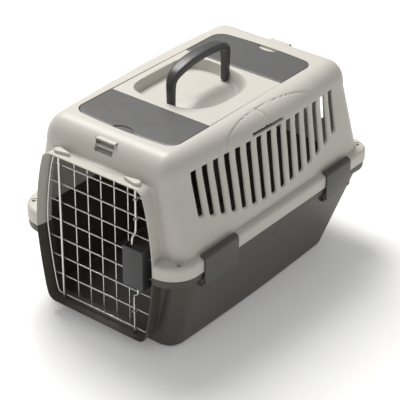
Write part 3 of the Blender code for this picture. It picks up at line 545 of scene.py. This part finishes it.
lean_rows = 0.148 * np.maximum(0, ROLL_Z - levels[:, 0])
late = along_y > 0.1735
stretch = 1 + lean_rows[:, None] / (0.183 - 0.1735)
y = np.where(late[None], 0.1735 + (y - 0.1735) * stretch, y)
deck_x = 0.095 * (1 - decks)[:, None] * np.ones_like(along_y)
deck_y = np.broadcast_to(along_y, deck_x.shape)
side = np.stack([np.concatenate([x, deck_x]), np.concatenate([y, deck_y]),
                 np.concatenate([z, np.full_like(deck_x, DECK_Z)])], -1)


def row_ends(column):
    """Core and reach of every row at one end of the side, with the swell taken into the reach."""
    zz = levels[:, column]
    cx, cz, rx, rz = section_at(zz)
    rx = rx + bulge[:, column]
    core = np.concatenate([np.stack([cx, cz], -1),
                           np.stack([0.095 * (1 - decks), np.full_like(decks, ROLL_Z)], -1)])
    reach = np.concatenate([np.stack([rx, rz], -1), np.tile([0.0, DECK_Z - ROLL_Z], (len(decks), 1))])
    return core, reach


upper_core, front_reach = row_ends(0)
_, rear_reach = row_ends(-1)
row_z = levels[:, 0]
straight = row_z <= ROLL_Z
up = np.clip((row_z[~straight] - ROLL_Z) / (DECK_Z - ROLL_Z), 0, 1)
around = np.arctan2(up, (1 - up**E) ** (1 / E)) * 2 / np.pi
upper_collar = collar_rows((row_z[straight] - SPLIT) / (ROLL_Z - SPLIT), around, decks, True)
rear_lean = np.concatenate([lean_rows, np.zeros(len(decks))])
upper_shell = tunnel("upper_shell_body", upper_core, front_reach, rear_reach, upper_collar, side,
                     (-0.221, 0.034, 0.183 + rear_lean, 0.034), SPLIT + PARTING,
                     lambda zz: 0.217 + 0.148 * np.maximum(0, ROLL_Z - zz), UPPER)

inside = []
domed = ROLL_Z + 0.0405 * np.sin(np.linspace(0.1, 1.5707, 9)) ** 0.83
for zz in np.concatenate([np.linspace(0.128, ROLL_Z, 12), domed]):
    up = np.clip((zz - ROLL_Z) / 0.0407, 0, 1)
    lean = 0.148 * max(0.0, ROLL_Z - max(zz, 0.16))
    shrink = (1 - up**E) ** (1 / E)
    half = 0.095 + lean + 0.0334 * shrink
    ring_y = 0.034 - 0.0028
    half = half - 0.0018 * min(1, max(0, zz - 0.16) / 0.04)
    ring = plan_ring(half, -0.187 - ring_y * shrink, 0.183 + lean + ring_y * shrink, 0.034, 0.038, zz, 0.0, 2.4)
    ring[:, 0] *= 1 + swell(ring[:, 1]) * min(1, max(0, zz - 0.160) / 0.12) * shrink**0.6 / half
    inside.append(ring)


def lid_plan(half, hinge_y, far_y, grow=0.0, corner=0.021, bow=0.0035):
    """A lid's outline: straight hinge edge, straight sides, rounded far corners, bowed far edge."""
    away = 1 if far_y > hinge_y else -1
    half, far = half + grow, far_y + away * grow
    straight = half - corner
    turn = np.linspace(0, np.pi / 2, 14)
    arc = np.stack([straight + corner * np.cos(turn), far - away * (bow + corner * (1 - np.sin(turn)))], -1)
    run = np.linspace(1, 0, 14)[1:]
    edge = np.stack([straight * run, far - away * bow * run**2], -1)
    steps = np.linspace(0, 1, 10)[:-1]
    first = np.stack([np.full(9, half), hinge_y + (arc[0, 1] - hinge_y) * steps], -1)
    right = np.concatenate([first, arc, edge])
    return np.concatenate([right, (right * (-1, 1))[::-1][1:]])


FRONT_LID, REAR_LID = (0.0930, -0.0953, -0.1812), (0.0915, 0.0833, 0.1690)
front_edge = lid_plan(*FRONT_LID, grow=0.0006)
rear_edge = lid_plan(*REAR_LID, grow=0.0006)[::-1]
opening = np.concatenate([front_edge, rear_edge])
deck_cut = ring_solid("deck_cut", [np.insert(opening, 2, zz, axis=1) for zz in (0.2985, 0.330)])
slots = []
for sign in (-1, 1):
    near, far = sorted((sign * 0.112, sign * 0.145))
    slots.append(box("slot", (near, -0.0400, 0.2838), (far, 0.0310, 0.2888), 0.0008))
strap_slots = merged("strap_slots", slots)
notches = merged("notches", [box("notch", (min(s * 0.124, s * 0.145), -0.0090, 0.2875),
                                 (max(s * 0.124, s * 0.145), -0.0055, 0.2905), 0.0005) for s in (-1, 1)])
rear_slits = []
for i in range(7):
    at = (i - 3) * SLIT_PITCH
    rear_slits.append(box("rear_slit", (at - 0.0048, 0.19, 0.185), (at + 0.0048, 0.27, 0.262), 0.0042))
rear_slits = merged("rear_slits", rear_slits)
roof_sockets = merged("roof_sockets", [rod("roof_socket", (x0, -0.2333, 0.255), (x0, -0.2333, 0.2738), 0.0024)
                                       for x0 in (-0.0725, 0.072)])
pockets = merged("pockets", [box("pocket", (-0.0168, y0, 0.2868), (0.0168, y1, 0.3040), 0.0030)
                             for y0, y1 in ((-0.235, -0.205), (0.201, 0.235))])
carve(upper_shell, cuts=[ring_solid("upper_inside", inside), doorway("upper_way"), deck_cut, strap_slots,
                         notches, rear_slits, pockets])
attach(upper_shell, "shells")
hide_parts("upper_shell")


# ---------------------------------------------------------------- band and corner lugs
# The upper shell's edge, moulded as a bullnose band that laps over the flange. At the four corners it
# widens into a lug with an open hole for a cable tie or bolt.
bead = [(0.0, 0.0, SPLIT + PARTING), (0.0, 0.0, SPLIT + 0.006), (0.0, 0.0, 0.1525)]
bead += [(0.0068 * (1 - math.cos(a)), 0.0, 0.1530 + 0.0068 * math.sin(a)) for a in np.linspace(0.15, 1.45, 8)]
bead += [(0.0, 0.6, 0.1603), (0.0, 1.0, 0.1608), (0.0, 1.0, SPLIT + PARTING)]
band = rim_band("upper_band", (0.157, -0.2443, 0.245, 0.045, 0.026),
                (0.1465, -0.2195, 0.2335, 0.036, 0.034), bead, 0.1105, UPPER)
carve(band, cuts=[
    merged(name, [rod(name, (x0, y0, low_z), (x0, y0, 0.17), radius)
                  for x0 in (-0.1395, 0.1395) for y0 in (-0.221, 0.230)])
    for name, low_z, radius in (("hole_rings", 0.1591, 0.0060), ("holes", 0.12, 0.0032))])
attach(band, "shells")


# ---------------------------------------------------------------- rod bosses and strap anchors
# Raised keyholes on the collar's top close the door rods' sockets. Behind the front shoulder's pocket
# stands a bar for a strap's hook; both are part of the upper shell.
def keyhole(name, x_round, x_tail):
    """A low boss: a round head that runs out into a narrowing tail, with a domed top."""
    turn = np.linspace(0, 2 * np.pi, 48, endpoint=False)
    toward = np.sign(x_tail - x_round)
    length = abs(x_tail - x_round)
    lengthwise = np.clip(np.cos(turn), 0, 1)
    px = x_round + toward * (0.0068 * np.cos(turn) + lengthwise**1.6 * (length - 0.0068))
    narrow = 1 - 0.45 * np.clip((np.abs(px - x_round)) / length, 0, 1) * (lengthwise > 0)
    py = -0.2320 + 0.0058 * np.sin(turn) * narrow
    rings = []
    for shrink, zz in ((1.0, 0.2690), (1.0, 0.2745), (0.97, 0.2755), (0.91, 0.2761), (0.7, 0.2764), (0.3, 0.2765)):
        middle = x_round + toward * length * 0.30
        rings.append(np.stack([middle + (px - middle) * shrink, -0.2320 + (py + 0.2320) * shrink,
                               np.full(48, zz)], -1))
    return ring_solid(name, rings, UPPER)


bosses = merged("rod_bosses", [keyhole("boss", -0.0735, -0.0500), keyhole("boss", 0.0735, 0.0500)], UPPER)
bosses = carve(bosses, cuts=[roof_sockets])
anchors = []
for y_face, y_back, y_bar in ((-0.2135, -0.2030, -0.2110), (0.2095, 0.1990, 0.2070)):
    near, far = sorted((y_back, y_back + (0.002 if y_face > 0 else -0.002)))
    anchors.append(box("anchor_back", (-0.0190, near, 0.2846), (0.0190, far, 0.3062), 0.0006))
    near, far = sorted((y_face, y_back))
    for zz in (0.2846, 0.3040):
        anchors.append(box("anchor_wall", (-0.0190, near, zz), (0.0190, far, zz + 0.0022), 0.0008))
    for x0 in (-0.0190, 0.0168):
        anchors.append(box("anchor_cheek", (x0, near, 0.2846), (x0 + 0.0022, far, 0.3062), 0.0008))
    anchors.append(rod("anchor_bar", (-0.018, y_bar, 0.2940), (0.018, y_bar, 0.2940), 0.0024))
anchors = merged("strap_anchors", anchors, UPPER)
for part in (bosses, anchors):
    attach(part, "shells")


# ---------------------------------------------------------------- centre panel and stores
# Between the lids lies a flat panel with the handle's dish pressed into it: steep on the side the
# handle folds to, with a hump for the knuckles and a soft lip on the other. Under each lid is a store.
px = np.unique(np.concatenate([np.linspace(-0.0918, 0.0918, 150), [-0.0916, -0.0912, 0.0912, 0.0916]]))
py = np.unique(np.concatenate([np.linspace(-0.0924, 0.0806, 140), [-0.0922, -0.0917, 0.0800, 0.0804]]))
gx, gy = np.meshgrid(px, py, indexing="ij")
left = gx < 0.0
power = np.where(left, 5.0, 2.6)
radial = ((np.abs(gx) / np.where(left, 0.0800, 0.0650)) ** power
          + (np.abs(gy + 0.003) / np.where(left, 0.0765, 0.0755)) ** power) ** (1 / power)
soft = np.clip((gx + 0.035) / 0.075, 0, 1)
wall_width = 0.040 + 0.20 * soft
drop = np.clip((1 - radial) / wall_width, 0, 1)
drop = drop * drop * (3 - 2 * drop)
hump = np.exp(-(((gx - 0.016) / 0.026) ** 2)) * np.exp(-(((gy + 0.003) / 0.044) ** 4))
pz = DECK_Z - 0.0003 - 0.0172 * drop * (1 - 0.06 * soft) + 0.0098 * hump * drop
edge_x = np.minimum(gx - px[0], px[-1] - gx)
edge_y = np.minimum(gy - py[0], py[-1] - gy)
rounding = np.clip(1 - np.minimum(edge_x, edge_y) / 0.0009, 0, 1)
pz = pz - 0.0009 * (1 - np.sqrt(1 - rounding**2 * 0.999))
top = np.stack([gx, gy, pz], -1)
rows, columns = gx.shape
skirt = top.copy()
skirt[..., 2] -= 0.0022
points = np.concatenate([top.reshape(-1, 3), skirt.reshape(-1, 3)])
faces = grid_faces(rows, columns) + grid_faces(rows, columns, start=rows * columns)
loop = ([i * columns for i in range(rows)] + [(rows - 1) * columns + j for j in range(1, columns)]
        + [i * columns + columns - 1 for i in range(rows - 2, -1, -1)] + list(range(columns - 2, 0, -1)))
shift = rows * columns
faces += [[p, q, q + shift, p + shift] for p, q in zip(loop, loop[1:] + loop[:1])]
panel = piece("centre_panel", points, faces, UPPER)
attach(panel, "shells")

wells = []
levels_in = ((0.0009, 0.3086), (0.0009, 0.3080), (-0.0095, 0.3078), (-0.0105, 0.3068), (-0.0110, 0.2900),
             (-0.0125, 0.2879), (-0.0200, 0.2873), (-0.0420, 0.2873))
levels_out = ((0.0009, 0.3062), (-0.0085, 0.3060), (-0.0090, 0.2885), (-0.0105, 0.2860), (-0.0200, 0.2855),
              (-0.0420, 0.2855))
for half, hinge_y, far_y in (FRONT_LID, REAR_LID):
    away = 1 if far_y > hinge_y else -1
    rings = []
    for grow, zz in levels_in[::-1] + levels_out:
        plan = lid_plan(half, hinge_y, far_y, grow)
        near_edge = hinge_y - away * (grow * 0.6 if grow < 0 else 0.0024)
        plan[:, 1] = away * np.maximum(away * plan[:, 1], away * near_edge)
        rings.append(np.insert(plan, 2, zz, axis=1))
    wells.append(ring_solid(("front" if away < 0 else "rear") + "_store", rings, UPPER))
for part in wells:
    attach(part, "shells")


# ---------------------------------------------------------------- lids
# Two flat lids in mid grey, with rounded edges, a hinge barrel along the straight edge and a
# half-round finger notch in the far edge.
LID = moulded("lid_plastic", (0.105, 0.105, 0.102), 0.34, mottle=0.05)


def make_lid(name, half, hinge_y, far_y):
    """A plate whose rim rolls over a small radius: its outline drawn in step by step towards the top."""
    rings = []
    for inset, zz in ((0.0012, 0.3088), (0.0004, 0.3089), (0.0002, 0.3094), (0.0002, 0.3101), (0.0004, 0.3106),
                      (0.0008, 0.3109), (0.0014, 0.3111), (0.004, 0.31115)):
        plan = lid_plan(half, hinge_y, far_y, -inset)
        away = 1 if far_y > hinge_y else -1
        plan[:, 1] = away * np.maximum(away * plan[:, 1], away * hinge_y - 0.0006 + inset)
        rings.append(np.insert(plan, 2, zz, axis=1))
    plate = ring_solid(name, rings, LID)
    away = 1 if far_y > hinge_y else -1
    turn = np.linspace(0, 2 * np.pi, 56, endpoint=False)
    notch = [np.stack([0.004 + 0.0190 * np.cos(turn), far_y + away * 0.001 + 0.0135 * np.sin(turn),
                       np.full(56, zz)], -1) for zz in (0.3098 if away < 0 else 0.30, 0.32)]
    barrel = rod("barrel", (-half + 0.002, hinge_y, 0.3092), (half - 0.002, hinge_y, 0.3092), 0.0019)
    pips = rod("pips", (-half - 0.0020, hinge_y, 0.3092), (half + 0.0020, hinge_y, 0.3092), 0.0012)
    return carve(plate, joins=[barrel, pips], cuts=[ring_solid("notch", notch)])


for name, sizes in (("front_lid", FRONT_LID), ("rear_lid", REAR_LID)):
    lid = make_lid(name + "_plate", *sizes)
    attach(lid, name)
    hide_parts(name)


# ---------------------------------------------------------------- handle
# A bail in dark grey: two legs that widen into an arched grip with softly squared edges. Each leg
# turns on a round pivot in the wall of the dish.
HANDLE = moulded("handle_plastic", (0.056, 0.056, 0.057), 0.36, mottle=0.06, grain=0.07)


def smooth_path(points, rounds=4):
    """Corner cutting: each round replaces a corner by two points a quarter of the way along its edges."""
    points = np.asarray(points, float)
    for _ in range(rounds):
        near, far = points[:-1] * 0.75 + points[1:] * 0.25, points[:-1] * 0.25 + points[1:] * 0.75
        points = np.concatenate([points[:1], np.stack([near, far], 1).reshape(-1, points.shape[1]), points[-1:]])
    return points


# y, z, half thickness, half width
bail = smooth_path([(-0.0672, 0.2966, 0.0054, 0.0056), (-0.0674, 0.318, 0.0054, 0.0058),
                    (-0.0676, 0.337, 0.0056, 0.0066), (-0.0640, 0.3475, 0.0058, 0.0080),
                    (-0.0520, 0.3545, 0.0062, 0.0098), (-0.0300, 0.3602, 0.0064, 0.0104),
                    (0.0, 0.3630, 0.0064, 0.0105), (0.0300, 0.3618, 0.0064, 0.0104),
                    (0.0500, 0.3590, 0.0062, 0.0096), (0.0600, 0.3520, 0.0058, 0.0082),
                    (0.0622, 0.338, 0.0056, 0.0066), (0.0620, 0.318, 0.0054, 0.0058),
                    (0.0618, 0.2966, 0.0054, 0.0056)])
along = np.gradient(bail[:, :2], axis=0)
along /= np.linalg.norm(along, axis=1)[:, None]
turn = np.linspace(0, 2 * np.pi, 40, endpoint=False)
wide = np.sign(np.cos(turn)) * np.abs(np.cos(turn)) ** 0.46
thick = np.sign(np.sin(turn)) * np.abs(np.sin(turn)) ** 0.46
hx = bail[:, 3:4] * wide
off = bail[:, 2:3] * thick
hy = bail[:, 0:1] - along[:, 1:2] * off
hz = bail[:, 1:2] + along[:, 0:1] * off
handle = ring_solid("handle_bail", np.stack([hx, hy, hz], -1), HANDLE)
pivots = []
for y0, y1 in ((-0.0755, -0.0700), (0.0645, 0.0712)):
    pivots.append(rod("pivot", (0, y0, 0.303), (0, y1, 0.303), 0.0050))
handle_pivots = merged("handle_pivots", pivots, HANDLE)
for part in (handle, handle_pivots):
    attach(part, "handle")
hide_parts("handle")


# ---------------------------------------------------------------- side clips
# Four hooked plates in dark grey hold the shells together: a barrel along the lower edge turns between
# the ears, and the hook snaps over the band.
CLIP = moulded("clip_plastic", (0.082, 0.077, 0.070), 0.42, mottle=0.06)
arc = np.radians(np.linspace(70, 300, 12))
clip_profile = np.concatenate([
    [(0.1600, 0.1170), (0.1600, 0.1400), (0.1600, 0.1560), (0.1596, 0.1588), (0.1585, 0.1610), (0.1568, 0.1626),
     (0.1545, 0.1636), (0.1512, 0.1638), (0.1500, 0.1634), (0.1496, 0.1624), (0.1506, 0.1611), (0.1548, 0.1609),
     (0.1566, 0.1597), (0.1577, 0.1572), (0.1577, 0.1400), (0.1577, 0.1200)],
    np.stack([0.1552 + 0.0028 * np.cos(arc), 0.117 + 0.0028 * np.sin(arc)], -1), [(0.1590, 0.1150)]])
for end, (low_y, high_y) in CLIPS.items():
    for side_name, sign in (("left", -1), ("right", 1)):
        stations = np.array([low_y, low_y + 0.0004, low_y + 0.0012, high_y - 0.0012, high_y - 0.0004, high_y])
        tuck = np.array([0.0010, 0.0003, 0.0, 0.0, 0.0003, 0.0010])
        middle = clip_profile.mean(0)
        rings = []
        for y0, inset in zip(stations, tuck):
            away_from = clip_profile - middle
            drawn = clip_profile - inset * 0.9 * away_from / np.linalg.norm(away_from, axis=1)[:, None]
            rings.append(np.stack([sign * drawn[:, 0], np.full(len(drawn), y0), drawn[:, 1]], -1))
        plate = ring_solid("plate", rings)
        pins = rod("pins", (sign * 0.1552, low_y - 0.0032, 0.117), (sign * 0.1552, high_y + 0.0032, 0.117), 0.0015)
        clip = merged(f"clip_{end}_{side_name}_plate", [plate, pins], CLIP)
        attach(clip, f"clip_{end}_{side_name}")
        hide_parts(f"clip_{end}_{side_name}")


# ---------------------------------------------------------------- door grid
# Zinc plated steel wires, spot welded where they cross: a frame wire bent to the collar's outline, seven
# rows in front, five columns behind, and a heavier rod at the left that turns in the collar's sockets.
def zinc(name, color, roughness):
    """Plated wire: bright metal, its shine broken by fine drawing marks and dull spots in the zinc."""
    material = bpy.data.materials.new(name)
    material.use_nodes = True
    tree = material.node_tree
    shader = tree.nodes["Principled BSDF"]
    at = Socket(tree)
    place = at.make("ShaderNodeTexCoord", output="Object")
    spots = at.make("ShaderNodeTexNoise", {"Vector": place, "Scale": 260.0, "Detail": 4.0, "Roughness": 0.65})
    long = at.make("ShaderNodeTexNoise", {"Vector": place, "Scale": 30.0, "Detail": 2.0})
    dark = tuple(c * 0.72 for c in color)
    tone = at.make("ShaderNodeMix", {0: (spots - 0.3) * 1.8, 6: (*dark, 1), 7: (*color, 1)},
                   output=2, data_type="RGBA")
    tree.links.new(tone.source, shader.inputs["Base Color"])
    gloss = (spots - 0.5) * 0.22 + (long - 0.5) * 0.12 + roughness
    tree.links.new(gloss.source, shader.inputs["Roughness"])
    relief = at.make("ShaderNodeBump", {"Strength": 0.15, "Distance": 0.0002, "Height": spots})
    tree.links.new(relief.source, shader.inputs["Normal"])
    shader.inputs["Metallic"].default_value = 1.0
    return material


ZINC = zinc("zinc_wire", (0.80, 0.79, 0.77), 0.26)
SPRING = zinc("spring_steel", (0.62, 0.62, 0.64), 0.30)


def tube(name, path, radius, material, closed=False, sides=12, rounds=0, reference=(0, 1, 0)):
    """A round wire: circles square to the path, turned against a fixed direction, with domed ends."""
    path = np.asarray(path, float)
    if rounds:
        path = smooth_path(path, rounds)
    radii = np.full(len(path), radius)
    if not closed:
        first, last = path[0] - path[1], path[-1] - path[-2]
        first, last = first / np.linalg.norm(first), last / np.linalg.norm(last)
        path = np.concatenate([[path[0]], [path[0] - first * 0.25 * radius], [path[0] - first * radius],
                               path[1:-1], [path[-1] - last * radius], [path[-1] - last * 0.25 * radius], [path[-1]]])
        radii = np.concatenate([[radius * 0.35, radius * 0.82], np.full(len(path) - 4, radius),
                                [radius * 0.82, radius * 0.35]])
        along = np.gradient(path, axis=0)
    else:
        along = np.roll(path, -1, 0) - np.roll(path, 1, 0)
    along /= np.linalg.norm(along, axis=1)[:, None]
    one = np.cross(along, reference)
    one /= np.linalg.norm(one, axis=1)[:, None]
    two = np.cross(along, one)
    turn = np.linspace(0, 2 * np.pi, sides, endpoint=False)
    rings = path[:, None] + radii[:, None, None] * (np.cos(turn)[None, :, None] * one[:, None]
                                                    + np.sin(turn)[None, :, None] * two[:, None])
    if closed:
        rings = np.concatenate([rings, rings[:1]])
        return ring_solid(name, rings, material, closed=False)
    return ring_solid(name, rings, material)


DOOR_Y, ROD_Y, HINGE_X = -0.2300, -0.2333, -0.0725
right, normal = collar_outline(20)
right = right - normal * 0.0095
loop = np.concatenate([right, (right * (-1, 1))[::-1][1:-1]])
frame_wire = tube("door_frame", np.insert(loop, 1, DOOR_Y, axis=1), 0.0014, ZINC, closed=True)
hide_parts("door_frame_wire")
door = [frame_wire]
rows_z = [0.0270 + 0.0318 * i for i in range(1, 8)]
for i, z0 in enumerate(rows_z):
    reach = float(np.interp(z0, right[:, 1], right[:, 0])) - 0.0004
    row = tube(f"door_row_{i + 1}", [(-reach, DOOR_Y, z0), (-reach / 2, DOOR_Y, z0), (0, DOOR_Y, z0),
                                     (reach / 2, DOOR_Y, z0), (reach, DOOR_Y, z0)], 0.0011, ZINC, reference=(0, 0, 1))
    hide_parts(f"door_row_wire_{i + 1}")
    door.append(row)
top_z, bottom_z = 0.2724 - 0.0095, 0.015 + 0.0095
for i in range(5):
    x0 = HINGE_X + 0.0252 * (i + 1)
    y0 = DOOR_Y + 0.0020
    column = tube(f"door_column_{i + 1}", [(x0, y0, bottom_z), (x0, y0, 0.1), (x0, y0, 0.2), (x0, y0, top_z)],
                  0.0010, ZINC)
    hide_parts(f"door_column_wire_{i + 1}")
    door.append(column)
hinge_rod = tube("hinge_rod", [(HINGE_X, ROD_Y, 0.0122), (HINGE_X, ROD_Y, 0.1), (HINGE_X, ROD_Y, 0.2),
                               (HINGE_X, ROD_Y, 0.2734)], 0.0020, ZINC, sides=16)
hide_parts("door_hinge_rod")
door.append(hinge_rod)
for name, x0, z0 in (("top", 0.072, rows_z[6]), ("middle", 0.072, rows_z[5]), ("bottom", 0.067, rows_z[0])):
    turn = np.linspace(0, 2 * np.pi, 24, endpoint=False)
    eye = np.stack([x0 + 0.0031 * np.cos(turn), ROD_Y + 0.0031 * np.sin(turn), np.full(24, z0 - 0.0024)], -1)
    guide = tube(f"guide_{name}", eye, 0.0009, ZINC, closed=True, reference=(0, 0, 1))
    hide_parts(f"rod_guide_{name}")
    door.append(guide)
for part in door:
    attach(part, "door")


# ---------------------------------------------------------------- squeeze latch
# A dark grey housing fixed to the grid, open at the top, with a slider behind its front plate. Squeezing
# the slider towards the hinge compresses a coil spring and draws the upper and lower bolt rods in.
LATCH = moulded("latch_plastic", (0.050, 0.050, 0.051), 0.42, mottle=0.06)
left, right_x, low_z, high_z = 0.0555, 0.0930, 0.1060, 0.1720
housing = merged("latch_cover", [
    box("front", (left, -0.2449, low_z), (right_x, -0.2425, high_z), 0.0009),
    box("wall", (left, -0.2440, low_z), (left + 0.0025, -0.2262, high_z), 0.0007)], LATCH)
slider = merged("latch_slide", [
    box("plate", (left + 0.0085, -0.2421, low_z + 0.003), (right_x - 0.001, -0.2405, high_z - 0.0025), 0.0005),
    box("wall", (right_x - 0.0025, -0.2421, low_z + 0.0005), (right_x, -0.2250, high_z - 0.0005), 0.0008),
    box("lip", (left + 0.0120, -0.2420, high_z - 0.0045), (right_x - 0.001, -0.2290, high_z - 0.0025), 0.0006),
], LATCH)
spring = bpy.data.objects["latch_spring"]
for place in spring.material_slots:
    place.material = SPRING
upper_rod = tube("upper_bolt", [
    (0.072, ROD_Y, 0.2678), (0.072, ROD_Y, 0.230), (0.072, ROD_Y, 0.197), (0.0715, ROD_Y - 0.0012, 0.193),
    (0.0695, -0.2372, 0.187), (0.069, -0.2384, 0.183), (0.069, -0.2384, 0.165), (0.069, -0.2384, 0.1512),
    (0.069, -0.2389, 0.1502), (0.069, -0.2399, 0.150), (0.069, -0.2421, 0.150)], 0.0017, ZINC, sides=14, rounds=2,
    reference=(1, 0, 0))
lower_rod = tube("lower_bolt", [
    (0.067, ROD_Y, 0.0196), (0.067, ROD_Y, 0.050), (0.067, ROD_Y, 0.080), (0.068, ROD_Y - 0.001, 0.085),
    (0.076, -0.2369, 0.0905), (0.0785, -0.2384, 0.0945), (0.079, -0.2384, 0.099), (0.079, -0.2384, 0.1268),
    (0.079, -0.2389, 0.1278), (0.079, -0.2399, 0.128), (0.079, -0.2421, 0.128)], 0.0017, ZINC, sides=14, rounds=2,
    reference=(1, 0, 0))
for part, body, node, finish in ((housing, "door", "latch_housing", "latch_plastic"),
                                 (slider, "latch_slider", "latch_slider", "latch_plastic"),
                                 (upper_rod, "upper_rod", "latch_rod_upper", "zinc_wire"),
                                 (lower_rod, "lower_rod", "latch_rod_lower", "zinc_wire")):
    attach(part, body)
    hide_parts(node)


# ---------------------------------------------------------------- studio
# A pale floor, a large soft lamp high on the left, a weak one in front and an even sky.
floor_x, floor_y = np.meshgrid(np.linspace(-6, 6, 25), np.linspace(-6, 6, 25), indexing="ij")
floor = piece("floor", np.stack([floor_x, floor_y, np.full_like(floor_x, -0.0002)], -1), grid_faces(25, 25))
for polygon in floor.data.polygons:
    if polygon.normal.z < 0:
        polygon.flip()
paper = bpy.data.materials.new("floor_paper")
paper.use_nodes = True
at = Socket(paper.node_tree)
cloud = at.make("ShaderNodeTexNoise", {"Vector": at.make("ShaderNodeTexCoord", output="Object"), "Scale": 3.0})
tint = at.make("ShaderNodeMix", {0: cloud, 6: (0.90, 0.90, 0.895, 1), 7: (0.93, 0.93, 0.925, 1)},
               output=2, data_type="RGBA")
paper.node_tree.links.new(tint.source, paper.node_tree.nodes["Principled BSDF"].inputs["Base Color"])
paper.node_tree.nodes["Principled BSDF"].inputs["Roughness"].default_value = 0.7
paper.node_tree.nodes["Principled BSDF"].inputs["Emission Color"].default_value = (1.0, 1.0, 0.99, 1)
paper.node_tree.nodes["Principled BSDF"].inputs["Emission Strength"].default_value = 0.15
floor.data.materials.append(paper)


def lamp(name, place, aim, size, power, color):
    """A square soft lamp at a place, turned to face a point."""
    light = bpy.data.lights.new(name, "AREA")
    light.shape, light.size, light.energy, light.color = "SQUARE", size, power, color
    obj = bpy.data.objects.new(name, light)
    obj.location = place
    obj.rotation_euler = (Vector(aim) - Vector(place)).to_track_quat("-Z", "Y").to_euler()
    scene.collection.objects.link(obj)
    return obj


lamp("key_lamp", (-1.15, 0.55, 2.4), (0, 0, 0.15), 1.2, 68, (1.0, 0.99, 0.97))
lamp("front_lamp", (0.2, -2.6, 1.9), (0, 0, 0.15), 1.5, 4, (1.0, 0.99, 0.98))
world = bpy.data.worlds.new("studio")
world.use_nodes = True
world.node_tree.nodes["Background"].inputs[0].default_value = (1.0, 1.0, 1.0, 1)
world.node_tree.nodes["Background"].inputs[1].default_value = 0.38
scene.world = world
scene.view_settings.view_transform = "Standard"

lens = bpy.data.cameras.new("camera")
lens.lens, lens.sensor_width = 140.27, 36.0
lens.clip_end = 50
camera = bpy.data.objects.new("camera", lens)
right_way, down, ahead = ((0.78328531, 0.6216198, 0.00727652), (0.32460791, -0.39899057, -0.85757579),
                          (-0.53018283, 0.67408853, -0.51430615))
turned = Matrix((right_way, [-d for d in down], [-a for a in ahead])).transposed()
camera.matrix_world = Matrix.Translation((1.2877, -1.6343, 1.3581)) @ turned.to_4x4()
scene.collection.objects.link(camera)
scene.camera = camera
